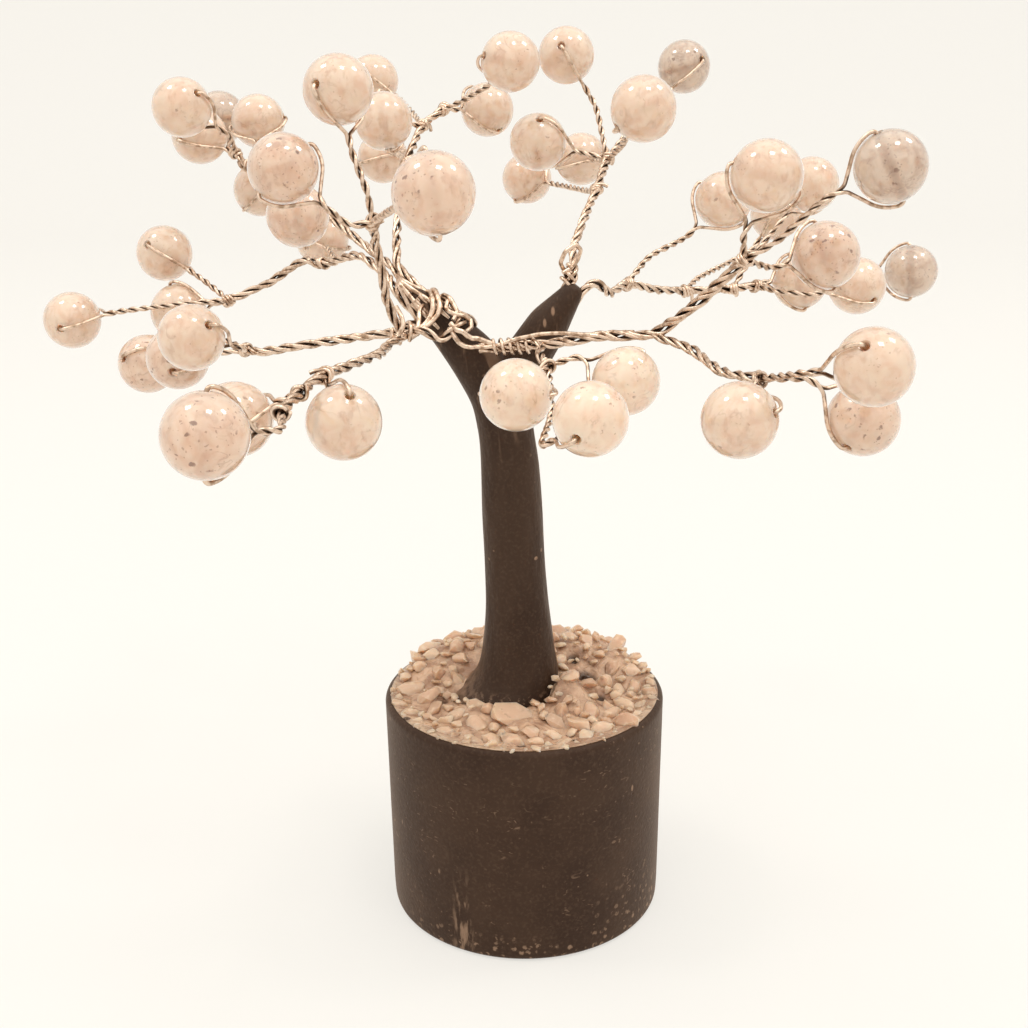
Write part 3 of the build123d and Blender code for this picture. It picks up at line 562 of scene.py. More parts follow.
flare = times(between(axes[0], -5.0 * mm, -8.6 * mm), between(axes[2], 38 * mm, 33 * mm),
              patches(place, 1.1 * mm, 0.30, 0.62, detail=5.0, seed=0.85), 0.7)
nicks_and_highlights = times(specks(place, 2.6 * mm, 0.12, seed=0.35, stretch=(0.45, 1, 1)),
              patches(place, 6 * mm, 0.5, 0.6, seed=0.05))
right_lean = np.arctan2(-right_way[0], right_way[2])
# Painted highlights: two pale dashes on the right limb, joined to the nicks.
for middle, size in highlight_dashes:
    painted_highlight = mark(place, np.array(middle) * mm, size * mm, 0.5 * size * mm, (2.0, 0.3, 0.85), right_lean)
    nicks_and_highlights = most_of(nicks_and_highlights, painted_highlight)
# The pale colour covers the crumbs, the flare, the smears and nicks, and the painted highlights.
rubbed_off_and_highlights = most_of(times(crumbled, 0.8), times(flare, 0.8), rubbed, times(nicks_and_highlights, 0.9))
join(blended(rubbed_off_and_highlights, coat, (0.30, 0.185, 0.12, 1)), shader, "Base Color")
knead = cloud(place, 1.6 * mm, detail=5.0, stretch=(1, 1, 0.45))
roughened(shader, knead, 0.38, 0.6)
raised(shader, knead, 0.3 * mm)
trunk_skins = [closed_skin(limb_rings(left_rows, 5)), closed_skin(limb_rings(right_rows, 8))]
trunk = make_piece("modelled_trunk", trunk_skins, trunk_paint, ["trunk_coat"])
merged = trunk.modifiers.new("pressed_together", "REMESH")
merged.mode = "VOXEL"
merged.voxel_size = remesh_grain
merged.use_smooth_shade = True
softened = trunk.modifiers.new("smoothed_by_hand", "SMOOTH")
softened.factor = 0.5
softened.iterations = 10


# Branches: soft silvered craft wire. Each bead's wire is folded in two and twisted into
# a twig, and a branch's stem is three or four strands laid round each other. A bead's
# place, and each bend, is in hundredths of the crown's reach from the branch's start.
reach = 64.0 * mm
wire_radius = 0.225 * mm
strand_radius = 0.26 * mm
stem_radius = 0.56 * mm
front_stem_radius = 0.64 * mm
twig_pitch = 3.5 * mm
stem_pitch = 6.8 * mm
twig_step = 0.14 * mm
stem_step = 0.2 * mm
loose_step = 0.15 * mm
wire_sides = 8
bead_radius = 4.0 * mm
bead_gap = 0.175 * mm
loop_radius = bead_radius + bead_gap + wire_radius
loop_corner = 0.5 * mm
neck_share = 1.17
neck_gap = 0.15 * mm
knot_gap = 0.08 * mm
left_bundle = 3.5 * mm
right_bundle = 1.9 * mm
fork_front = np.array([-2.4, 0.0, 77.0]) * mm

# How a stem lies on a limb's end, in mm along the limb from its tip and out of it
stem_tail = [(-4.2, 0.45), (-1.5, 0.1), (1.5, 0.0)]

# A branch: its place on the limb's end in degrees, and its bends. The three that have no
# place there lie over the limb and meet in front of it, where they are wrapped together.
left_branches = {
    "front_left": (None, [(0.5, -7.6, -5.2), (-2.2, -9.2, -5.8), (-4.5, -18, -6), (-4.5, -26.5, -5.5),
                          (-12.5, -45.5, -5), (-15, -56, -5.5), (-16, -69, -5.5)]),
    "left": (None, [(0, -8, -4.5), (-4.7, -6.7, -5.6), (-14.5, -5.9, -7), (-22, -6, -8), (-30, -4.5, -9.5),
                    (-34, 0, -10)]),
    "back_left_low": (150, [(-6, 7.5, 3.2), (-12.5, 18, 6.2), (-21.5, 26.5, 3), (-26, 31, 3.5),
                            (-34, 33.5, -2), (-43, 32, -5.5)]),
    "back_left_high": (90, [(-4.8, 8.5, 4.8), (-12, 19, 8.2), (-21, 29.5, 13.5), (-30.5, 39, 19),
                            (-39, 45.5, 21.5), (-42.5, 48.5, 24.5)]),
    "front_high": (None, [(-2, -9.2, -5.8), (-3.4, -8.8, -3.1), (-5, -9.7, 1.6), (-5.3, -12, 7),
                          (-6, -15.5, 12.5), (-5.8, -20.5, 17)]),
    "back_high_left": (60, [(-4.2, 7.5, 5.2), (-4.4, 15, 12), (-3.5, 34.5, 23), (-1, 51.5, 30),
                            (3.5, 59.5, 33)]),
}
right_branches = {
    "back_high_right": (180, [(0, 6, 7), (2.5, 15.5, 11.5), (6, 28, 16.5), (9, 40.5, 22)]),
    "back_right": (0, [(5, 2, 1), (7.5, 6, -2), (11.5, 15.5, -1), (18.5, 23.5, -4), (25.5, 31, -5.5),
                       (37, 36.5, -6), (42.5, 40, -6)]),
}
front_right_bends = [(-4.5, -6.5, 3), (10.5, -7, 4), (18.5, -10, 6), (28.5, -15.5, 7), (36, -22, 14.5),
                     (42.5, -28, 22.5)]
front_right_low_bends = [(28.5, -15.5, 7), (34.5, -23.5, 6), (38, -36, 4.5), (43, -46, 5.5)]
front_middle_bends = [(7, -13.5, 3), (8.5, -20.5, 2.5)]

# A bead: the bend of the stem that its twig leaves by, counted from the free end, then
# its middle, the way of its bore, and its twig's bends
bead_rows = {
    "front_left": [
        (-3, (-8.5, -54, -11), (0.35, -0.7, 0.65), []),
        (-2, (-26.5, -51.5, -11), (0.4, 0.85, 0.35), []),
        (-1, (-23.5, -87.5, -4), (0, -0.05, -1), [(-14.5, -77.5, -6)]),
    ],
    "left": [
        (-1, (-41, -15, -4.5), (0.6, -0.6, 0.5), [(-33, -8, -8)]),
        (-1, (-47.5, 0, -11.5), (0.35, -0.9, -0.2), []),
        (-1, (-59, 20.5, -17), (-0.45, -0.75, 0.45), [(-42.5, 10, -8.5), (-51, 16, -10.5)]),
    ],
    "back_left_low": [
        (-4, (-26, 62.5, 3.5), (-0.95, -0.2, 0.3), [(-20, 40.5, 1)]),
        (-1, (-55.5, 37.5, -9), (-0.2, 0, 1), []),
        (-1, (-59.5, 45.5, 3), (0, -1, 0.2), [(-49.5, 38, -2)]),
        (-1, (-78.5, 34.5, -10), (0, -1, -0.1), [(-51, 28.5, -5.5), (-65.5, 32, -7.5)]),
    ],
    "back_left_high": [
        (-4, (-23.5, 9, 15), (-0.15, 0.2, 0.95), []),
        (-3, (-40.5, 65.5, 15), (0.6, 0.4, 0.7), [(-33.5, 50, 19)]),
        (-2, (-40.5, 69, 30.5), (1, -0.15, 0.05), [(-39.5, 58.5, 24.5)]),
        (-1, (-51.5, 54.5, 28), (-0.1, -1, -0.2), []),
        (-1, (-50.5, 34.5, 35), (-0.75, 0.5, -0.45), [(-42, 40.5, 29)]),
        (-1, (-51.5, 79.5, 31), (0.85, 0.45, -0.1), [(-46, 62.5, 23.5)]),
    ],
    "front_high": [
        (-1, (-11.5, -15, 39.5), (-0.55, -0.85, 0.15), [(-6.5, -21, 22.5), (-9, -19, 28.5)]),
        (-1, (-21, -21.5, 26.5), (-0.65, -0.35, -0.65), [(-9.5, -22.5, 16.5), (-13, -24, 19.5)]),
        (-1, (7.5, -63.5, 26), (0.15, -0.15, -1), [(-3.5, -31, 19), (2, -52.5, 23.5)]),
    ],
    "back_high_left": [
        (-3, (-12.5, 81, 21), (0.9, 0.35, 0.2), [(-5.5, 51.5, 23), (-8.5, 69.5, 23)]),
        (-2, (-8.5, 40.5, 31.5), (-0.15, 0.3, 0.95), []),
        (-2, (-14.5, 84, 39), (0.5, 0.7, -0.55), [(-3.5, 63.5, 32), (-7.5, 75.5, 35)]),
        (-1, (13.5, 70, 32.5), (0.4, -0.5, -0.75), []),
        (-1, (19, 36, 43.5), (-0.9, -0.4, 0.2), [(8, 54.5, 35), (13.5, 45.5, 38)]),
    ],
    "back_high_right": [
        (-2, (-8, 87.5, 14), (0.5, 0.25, 0.8), [(6, 51.5, 14), (-1, 76, 13.5)]),
        (-1, (0.5, 53, 43.5), (-0.2, -0.95, 0.3), [(7, 47.5, 32.5)]),
        (-1, (-6, 44, 25.5), (0.1, -0.6, 0.8), []),
        (-1, (5, 75, 19.5), (0.95, 0.2, 0.3), [(10, 54.5, 20.5)]),
        (-1, (13, 0, 34), (0.8, 0.35, 0.5), [(11, 29.5, 25)]),
        (-1, (29.5, 77, 40.5), (0.6, -0.75, 0.25), [(15, 53, 27.5), (23.5, 69.5, 33)]),
    ],
    "back_right": [
        (-5, (34.5, 39.5, 13), (0.75, -0.35, -0.6), [(17, 25, 3), (26, 35, 5.5)]),
        (-3, (52.5, 73.5, 6), (-0.05, 0.75, -0.65), [(29.5, 40, -4), (45.5, 66, -2)]),
        (-2, (56.5, 53, 15), (0.65, 0.4, -0.65), [(41, 41.5, -0.5), (48.5, 49.5, 6)]),
        (-2, (83.5, 62.5, -6.5), (-0.05, 0.25, 0.95), [(43, 51.5, -7.5), (54, 65, -8.5), (71, 67, -8)]),
        (-1, (53.5, 45.5, -6), (-0.3, 0.35, 0.9), []),
        (-1, (63.5, 33, -5), (-0.5, 0.75, 0.4), [(46.5, 32, -6), (52.5, 27.5, -6)]),
    ],
    "front_right": [
        (-1, (45.5, -29.5, 37), (0.95, -0.05, -0.4), [(41.5, -32, 27)]),
        (-1, (66, -31.5, 38.5), (-0.4, -0.05, 0.95), [(48, -29.5, 26), (55, -31, 33)]),
        (-1, (59.5, -15.5, 21.5), (-0.25, 0.3, 0.9), [(48.5, -21, 20)]),
    ],
    "front_right_low": [
        (-1, (38, -57.5, 1.5), (0.75, -0.65, 0.25), []),
        (-1, (57.5, -62.5, 11), (-0.25, -0.7, 0.7), [(47.5, -57.5, 9)]),
        (-1, (61, -44.5, -2), (0.55, 0.55, 0.65), [(51.5, -43.5, 5)]),
    ],
    "front_middle": [
        (-1, (2.5, -41, 2), (0.95, -0.25, 0.05), []),
        (-1, (14.5, -54, 1), (-0.4, -0.8, -0.3), [(9, -33, -3), (6.5, -47.5, -5.5)]),
        (-1, (22.5, -25, 0.5), (0.4, 0.55, 0.75), [(14, -19.5, 4)]),
    ],
}


def even_steps(line, step):
    """Rows a step apart along a line, by its length so far. Further columns go with them."""
    length = np.r_[0, np.cumsum(np.linalg.norm(np.diff(line[:, :3], axis=0), axis=1))]
    at = np.linspace(0, length[-1], max(3, round(length[-1] / step)))
    return np.stack([np.interp(at, length, column) for column in line.T], axis=1)


def bent_line(bends, step):
    """Wire bent over the fingers: each bend is a parabola from three quarters along one run to
    a quarter along the next, and between them the runs are straight."""
    bends = np.asarray(bends, float)
    middles = (bends[:-1] + bends[1:]) / 2
    handles = np.empty((2 * len(bends) - 1, 3))
    handles[::2], handles[1::2] = bends, middles
    joints = (handles[:-1] + handles[1:]) / 2
    joints = np.vstack([handles[:1], joints[1:-1], handles[-1:]])
    t = np.linspace(0, 1, 12, endpoint=False)[None, :, None]
    first, corner, last = joints[:-1, None], handles[1:-1, None], joints[1:, None]
    line = (1 - t) ** 2 * first + 2 * t * (1 - t) * corner + t**2 * last
    return even_steps(np.vstack([line.reshape(-1, 3), bends[-1:]]), step)


def carried_sides(line, first_side=None):
    """Two ways square to a line at every point, carried along without twisting. Each step turns
    them by the least turn from one tangent to the next, and the turns are multiplied up in
    doubling strides."""
    tangents = unit(np.gradient(line, axis=0))
    cross = np.cross(tangents[:-1], tangents[1:])
    cosine = np.einsum("ij,ij->i", tangents[:-1], tangents[1:])
    skew = np.zeros((len(line), 3, 3))
    skew[1:, 0, 1], skew[1:, 0, 2], skew[1:, 1, 2] = -cross[:, 2], cross[:, 1], -cross[:, 0]
    skew -= skew.transpose(0, 2, 1)
    turns = np.eye(3) + skew + skew @ skew / (1 + np.r_[1.0, cosine])[:, None, None]
    stride = 1
    while stride < len(line):
        turns[stride:] = turns[stride:] @ turns[:-stride]
        stride *= 2
    if first_side is None:
        first_side = np.cross(tangents[0], np.eye(3)[np.argmin(abs(tangents[0]))])
    first_side = unit(first_side - tangents[0] * np.dot(first_side, tangents[0]))
    sides = turns @ first_side
    return sides, np.cross(tangents, sides)


def wire(line, radius=wire_radius):
    """A round wire: a circle carried along its middle line, closed at both cut ends. Where the
    line's last columns are the middle of a twist, the tone is painted shade: it rises from 0 on
    the outside of the twist to 1 on its inside, where the strands meet."""
    middle = line[:, :3]
    side, up = carried_sides(middle)
    turn = np.linspace(0, 2 * np.pi, wire_sides, endpoint=False)[None, :, None]
    round_way = np.cos(turn) * side[:, None] + np.sin(turn) * up[:, None]
    out = middle - line[:, -3:]
    far = np.linalg.norm(out, axis=1, keepdims=True)
    facing = np.einsum("ijk,ik->ij", round_way, out / np.maximum(far, 0.01 * mm))
    tones = np.clip(0.6 - 0.85 * facing, 0, 1) * np.clip(far / (0.1 * mm) - 0.5, 0, 1)
    return closed_skin(middle[:, None] + radius * round_way, tones)


def strand(line, sides, out, pitch, start, wobble, seed):
    """One strand of a twist, and the twist's middle beside it: it stays at this distance out from
    the line and turns once round it in each pitch. The wobble moves it along and in and out,
    as hand-twisted wire lies."""
    side, up = sides
    along = np.r_[0, np.cumsum(np.linalg.norm(np.diff(line, axis=0), axis=1))]
    a, b, c = np.random.default_rng(seed).uniform(0, 2 * np.pi, 3)
    turn = 2 * np.pi * along / pitch + start
    turn = turn + wobble * (1.3 * np.sin(along / (1.9 * mm) + a) + 0.8 * np.sin(along / (0.8 * mm) + b))
    out = out * (1 + 0.7 * wobble * (1 + np.sin(along / (1.1 * mm) + c)))
    turn, out = turn[:, None], out[:, None]
    return np.hstack([line + out * (np.cos(turn) * side + np.sin(turn) * up), line])


def eased(line, width=5):
    """Softens kinks: each point becomes the mean of those around it, and the ends stay."""
    padded = np.vstack([np.repeat(line[:1], width // 2, 0), line, np.repeat(line[-1:], width // 2, 0)])
    middle = sum(padded[k:k + len(line)] for k in range(width)) / width
    return np.vstack([line[:1], middle[1:-1], line[-1:]])


def twisted_stem(line, strands, seed):
    """Strands laid round each other so loosely that gaps open between them."""
    sides = carried_sides(line)
    out = 1.02 * strand_radius / np.sin(np.pi / strands)
    pitch = stem_pitch * np.random.default_rng(seed).uniform(0.9, 1.2)
    starts = 2 * np.pi * np.arange(strands) / strands
    laid = [strand(line, sides, out, pitch, start, 0.24, seed + 50 * k) for k, start in enumerate(starts)]
    return [wire(eased(one), strand_radius) for one in laid]


def wrapped_knot(line, at, radius, away, seed):
    """Where twigs leave: one wire wound round the stem for two to three slanting turns, its cut
    end left standing out on the side away from the beads."""
    chance = np.random.default_rng(seed)
    way = unit(line[min(at + 2, len(line) - 1)] - line[max(at - 2, 0)])
    away = away - way * np.dot(away, way)
    side = unit(away) if np.linalg.norm(away) > 1e-9 else unit(np.cross(way, [0.3, 0.2, 1.0]))
    up = np.cross(way, side)
    t = np.linspace(0, 1, 90)[:, None]
    turn = 2 * np.pi * chance.uniform(2.0, 3.2) * (t - 1) + 0.5
    out = radius + knot_gap + 1.5 * knot_gap * np.sin(5 * t + chance.uniform(0, 6))
    out = out + chance.uniform(0.3, 0.9) * mm * np.clip((t - 0.92) / 0.08, 0, 1) ** 2
    along = (t - 0.5) * chance.uniform(1.0, 1.5) * mm + chance.uniform(0.1, 0.45) * mm * np.sin(turn)
    wound = line[at] + way * along + out * (np.cos(turn) * side + np.sin(turn) * up)
    return wire(eased(np.hstack([wound, line[at] + way * along]), 3), 0.95 * strand_radius)


def bead_hug(middle, bore_way, neck_way):
    """The wire's way round a bead, in the plane of its bore and neck: an arc from where it
    touches the bead to the mouth of the bore, a small turn in, and the same on the far side."""
    touch = 90 - np.degrees(np.arccos(1 / neck_share))
    corner = np.degrees(np.arcsin(loop_corner / (loop_radius - loop_corner)))
    corner_out = np.sqrt((loop_radius - loop_corner) ** 2 - loop_corner**2)
    half = np.vstack([
        rounded_edge([0, 0], loop_radius, touch, corner, 24),
        rounded_edge([corner_out, loop_corner], loop_corner, corner, -90, 8)[1:],
    ])
    plane = np.vstack([half, half[::-1] * [-1, 1]])
    return middle + plane[:, :1] * bore_way + plane[:, 1:] * neck_way


def bead_wire(root, bends, middle, bore_way, neck_way, seed):
    """A bead's whole wire as one line: up the twig as one strand, round the bead and through its
    bore, and back down the twig as the other strand."""
    neck = middle + neck_way * (neck_share * loop_radius + neck_gap)
    twig = bent_line([root, *bends, neck], twig_step)[::-1]
    sides = carried_sides(twig, bore_way)
    pitch = twig_pitch * np.random.default_rng(seed).uniform(0.88, 1.15)
    out = 0.96 * wire_radius
    one = strand(twig, sides, out, pitch, 0, 0.16, seed)
    other = strand(twig, sides, out, pitch, np.pi, 0.16, seed)
    hug = bead_hug(middle, bore_way, neck_way)
    line = np.vstack([one[::-1], np.hstack([hug, hug]), other])
    return wire(eased(even_steps(line, twig_step), 7))


def reached(start, places):
    """Places that are given in hundredths of the reach from a start."""
    return start + np.array(places) / 100 * reach


def branch_skins(name, start, stem_bends, radius, strands, seed):
    """A branch's stem, the knots on it, and its beads' wires."""
    line = bent_line(stem_bends, stem_step)
    skins = twisted_stem(line, strands, seed)
    knots = {}
    for number, (root, middle, bore_way, bends) in enumerate(bead_rows[name]):
        at = np.argmin(np.linalg.norm(line - stem_bends[root], axis=1))
        middle = reached(start, middle)
        bends = [reached(start, bend) for bend in bends]
        neck_way = unit((bends[-1] if bends else stem_bends[root]) - middle)
        bore_way = unit(bore_way - neck_way * np.dot(bore_way, neck_way))
        skins.append(bead_wire(line[at], bends, middle, bore_way, neck_way, 10 * seed + number))
        beads[f"bead_{name}_{number + 1}"] = (middle, bore_way, neck_way)
        knots[at] = knots.get(at, 0) + unit(line[at] - middle)
    return skins + [wrapped_knot(line, at, radius, away, seed + at) for at, away in knots.items()]


def out_of_limb(way, degrees):
    """The way out of a limb at so many degrees round it, from its side towards its back."""
    turn = np.radians(degrees)
    return np.cos(turn) * np.cross(way, [0, -1, 0]) + np.sin(turn) * np.array([0, 1, 0])


def limb_stem_bends(tip, way, bundle, degrees_round, bends):
    """A stem's bends: it lies along the limb's skin to its place on the limb's end, goes straight
    out for a little, and then on."""
    if degrees_round is None:
        return reached(tip, bends)
    out = out_of_limb(way, degrees_round)
    root = tip + out * bundle / 2
    return [*(root + (way * along + out * off) * mm for along, off in stem_tail), *reached(tip, bends)]


def loose_wire(tip, places, radius, twist=None):
    """One bent wire through places in mm from a limb's tip, or a twisted pair of that pitch."""
    line = bent_line(tip + np.array(places) * mm, loose_step)
    if twist is None:
        return [wire(line, radius)]
    sides = carried_sides(line)
    pair = [strand(line, sides, 1.02 * radius, twist, start, 0.1, 5) for start in (0, np.pi)]
    return [wire(eased(one), radius) for one in pair]


def wrapping(tip, first, last, radius, turns, start, slant):
    """A wire wound round the straight line between two places in mm from a limb's tip: a circle
    carried along it, with slanting turns."""
    first, last = tip + np.array(first) * mm, tip + np.array(last) * mm
    way = unit(last - first)
    side = unit(np.cross(way, [0, 1, 0]))
    t = np.linspace(0, 1, round(40 * turns))[:, None]
    turn = 2 * np.pi * turns * t + start
    middle = first + (last - first) * t + way * slant * mm * np.cos(turn)
    out = np.cos(turn) * side + np.sin(turn) * np.cross(way, side)
    return [wire(np.hstack([middle + radius * mm * out, middle]), strand_radius)]


def wire_piece(name, skins):
    """Makes a branch's wires one piece, which is shown in place of the branch's solid."""
    make_piece(f"wires_{name}", skins, silver_wire, [f"branch_{name}"], crease=60)


silver_wire, shader, place = new_finish("silvered_craft_wire", Metallic=1.0, Roughness=0.27)
tarnish = patches(place, 0.8 * mm, 0.45, 0.65, seed=0.6)
wire_colour = blended(tarnish, (0.80, 0.625, 0.49, 1), (0.42, 0.285, 0.195, 1))
# Painted shade: where the tone attribute is high, on the inside of a twist, the wire goes dark brown.
inside = add_node(place, "Attribute", {}, attribute_name="tone")["Fac"]
wire_colour = blended(between(inside, 0.5, 1.0), wire_colour, (0.12, 0.07, 0.043, 1))
join(wire_colour, shader, "Base Color")
scratches = cloud(place, 0.22 * mm, detail=3.0)
roughened(shader, scratches, 0.2, 0.42)
raised(shader, scratches, 0.02 * mm)
bundle_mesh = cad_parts["trunk_wire_bundle"].data
bundle_mesh.materials.clear()
bundle_mesh.materials.append(silver_wire)

# Wires wound round a branch near its root, in mm from the limb's tip: from where to where,
# the radius, how many turns, where they start and how far they slant
wrappings = {
    "front_left": [((-3, -5.8, -3.7), (-0.4, -5.2, -3.3), 1.15, 2.3, 0.6, 0.5)],
    "back_high_right": [((-1, 0.3, 0.7), (-0.1, 0.6, 2.5), 0.85, 2.2, 0.0, 0.5)],
}

# Loose wires, each with its radius and its bends, in mm from the limb's tip: those that
# cross over the left limb's front, those that hug its end, and the eye on the right tip
loose_wires = {
    "front_left": [
        (0.34, [(0, 2.4, -1.2), (0.8, 2, 0.3), (1.8, -0.3, 0.8), (2.3, -2.3, 0.1), (2.3, -3, -0.9),
                (2, -3.4, -1.8), (1.3, -4.1, -2.7), (0, -5.1, -3.4), (-1.6, -6.4, -4)]),
        (0.34, [(1.2, 2.8, -1), (2, 1.6, 0.7), (2.5, -0.5, 1), (3, -2.3, 0.1), (3.2, -3, -0.7),
                (2.9, -3.5, -1.6), (2.1, -4, -2.4), (0.8, -4.8, -3.3), (-0.6, -5.8, -4.1)]),
        (0.3, [(1, -1.3, -0.7), (0.6, -2.6, -1.2), (0.6, -3.4, -2), (0.5, -4.2, -2.9), (-0.1, -5, -3.3),
               (-2, -6, -3.8)]),
        (0.3, [(-2.1, -4.4, -0.4), (-1.4, -6, -1.2), (-1.1, -6.6, -2.3), (-1.8, -7, -3.4),
               (-3, -7.4, -4.4)]),
    ],
    "back_left_high": [
        (0.3, [2.0 * out - 4.6 * left_way, 2.0 * out - 1.6 * left_way, 0.9 * out + 1.0 * left_way,
               0.4 * out + 2.6 * left_way, (-2.4, 4.2, 2.3)])
        for out in (out_of_limb(left_way, degrees) for degrees in (20, 110, 150, 215, 260, 310))
    ],
    "back_high_right": [
        (0.28, [(0, 0.6, 1.9), (-1.3, 0.3, 2.6), (-1.7, -0.3, 3.5), (-1.1, -0.6, 4.9), (0.2, -0.3, 5.8),
                (0.9, 0.2, 5), (0.5, 0.5, 3.7), (-0.3, 0.1, 2.8), (-1.4, -0.5, 2.3)]),
    ],
}

# Each bead's middle, the way of its bore and the way to its neck, filled in by branch_skins
beads = {}
limbs = [
    (left_tip, left_way, left_bundle, left_branches, 1),
    (right_tip, right_way, right_bundle, right_branches, 11),
]
for tip, way, bundle, branches, first_seed in limbs:
    for seed, (name, (degrees_round, bends)) in enumerate(branches.items(), first_seed):
        stem_bends = limb_stem_bends(tip, way, bundle, degrees_round, bends)
        skins = branch_skins(name, tip, stem_bends, stem_radius, 3, seed)
        for row in wrappings.get(name, []):
            skins += wrapping(tip, *row)
        for radius, places in loose_wires.get(name, []):
            skins += loose_wire(tip, places, radius * mm)
        wire_piece(name, skins)


# Front right branch: its tail is a pair of wires wound loosely round the left limb, with
# single wires laid over it. It then crosses in front of the fork and parts into a high
# and a low stem. The winding is in mm from the left limb's tip, each wire with its radius.
winding_pair = [(3.8, 3.4, -4.2), (0.8, 2.6, -4), (-0.7, -0.4, -3.2), (-1, -4.2, -3.1), (-0.1, -5.4, -3.1),
                (1.2, -5, -3.2), (2.2, -4.7, -3.9), (3, -4.6, -4.5), (3.7, -4.6, -4.3), (4.4, -4.6, -3.6),
                (5.3, -4.2, -2.8), (6, -3, -2.3), (6.1, 0, -2.6), (5.2, 2.6, -4)]
winding_wires = [
    (0.3, [(0.6, 1.8, -3), (1.6, 2.2, -1.4), (3.2, 0.4, 0), (4.1, -1.8, -0.1), (3.9, -2.9, -0.8),
           (4.3, -3.3, -1.2), (5.1, -3.2, -1.6), (6.1, -3, -1.8), (6.9, -2.4, -2.4), (7, -3.4, -3.2),
           (6.3, -4.4, -3.6)]),
    (0.28, [(1.8, 2.6, -2.4), (3, 1.9, -0.6), (4.2, 0, 0.1), (4.7, -2.2, -0.8), (5.3, -2.6, -1.4),
            (6.2, -2.3, -1.8), (7, -1.4, -2.3), (7.5, 0.3, -3.4), (6.8, 2.6, -5)]),
    (0.3, [(3, 1.4, -0.2), (3.6, -0.4, 0.4), (4.4, -1.8, 0.2), (4.9, -2.5, -0.6), (5.3, -2.9, -1.3),
           (4.8, -3.6, -2.2)]),
    (0.34, [(4.5, -4.2, -2.5), (5.2, -4.9, -3.2), (6, -5, -3.4), (6.5, -4.9, -3.9), (7.1, -4.8, -4.3),
            (7.8, -4.8, -4.3), (8.5, -4.7, -4.6), (9.8, -4.6, -5.1)]),
    (0.3, [(4.3, -4.3, -3), (5, -4.8, -4.1), (5.5, -4.9, -4.8), (6.1, -4.9, -5.2), (7, -4.9, -5.4),
           (7.6, -4.9, -5.3), (8.6, -4.8, -5.4), (10.2, -4.6, -5.3)]),
    (0.26, [(9.8, -4.6, -5.4), (12.6, -5.2, -4.3), (15.5, -5.4, -3.7), (18, -5.4, -3.6), (21.2, -6.2, -3.7),
            (24.2, -7, -3.3), (26.7, -8.4, -3)]),
]
winding_pair_radius = 0.29 * mm
winding_pair_pitch = 6.0 * mm
front_right_stem = reached(fork_front, front_right_bends)
front_right_low_stem = reached(fork_front, front_right_low_bends)
skins = loose_wire(left_tip, winding_pair, winding_pair_radius, winding_pair_pitch)
for radius, places in winding_wires:
    skins += loose_wire(left_tip, places, radius * mm)
skins += branch_skins("front_right", fork_front, front_right_stem, front_stem_radius, 4, 21)
skins += branch_skins("front_right_low", fork_front, front_right_low_stem, stem_radius, 3, 23)
wire_piece("front_right", skins)


# Front middle branch: three beads in front of the fork. Its own thin wire is wound five
# times round the front right branch and holds it there.
coil_start = 1.8 * mm
coil_pitch = 0.97 * mm
coil_turns = 5
coil_step = 0.12 * mm
coil_out = front_stem_radius + wire_radius + 0.08 * mm
middle_share = 0.8
stand_gap = 0.05 * mm
crossing_start, crossing_end = front_right_stem[:2]
crossing_way = unit(crossing_end - crossing_start)
middle_root = crossing_start + (crossing_end - crossing_start) * middle_share
middle_bends = reached(fork_front, front_middle_bends)
middle_out = unit(middle_bends[0] - middle_root)
stand_off = front_stem_radius + stem_radius * abs(np.dot(middle_out, crossing_way)) + stand_gap
front_middle_stem = [middle_root + middle_out * stand_off, *middle_bends]
coil_side = unit(np.cross([0, 0, 1], crossing_way))
turns = np.linspace(0, coil_turns, 300)[:, None]
turn = np.radians(90 + 360 * turns)
coil = crossing_start + crossing_way * (coil_start + coil_pitch * turns)
coil = coil + coil_out * (np.cos(turn) * coil_side + np.sin(turn) * np.cross(crossing_way, coil_side))
coil_end = (front_middle_stem[0] + front_middle_stem[1]) / 2
t = np.linspace(0, 1, 40)[:, None]
leaving = unit(coil[-1] - coil[-2])
span = np.linalg.norm(coil_end - coil[-1])
bridge = ((1 + 2 * t) * (1 - t) ** 2 * coil[-1] + t * (1 - t) ** 2 * span * leaving
          + t**2 * (3 - 2 * t) * coil_end - t**2 * (1 - t) * span * middle_out)
skins = [wire(eased(even_steps(np.vstack([coil[:-1], bridge]), coil_step)))]
skins += branch_skins("front_middle", fork_front, front_middle_stem, stem_radius, 3, 31)
wire_piece("front_middle", skins)


# Beads: polished balls of pale quartz, drilled through and free to turn on their wires.
# The stone is milky, with clearer patches, small dark grains and fine healed cracks. The
# ball is drawn a hair smaller than the solid bead, so that it stays inside it.
ball_radius = bead_radius - 0.005 * mm
ball_sides = 56
bore_radius = 0.5 * mm
bore_chamfer = 0.15 * mm
stir = 0.7 * mm


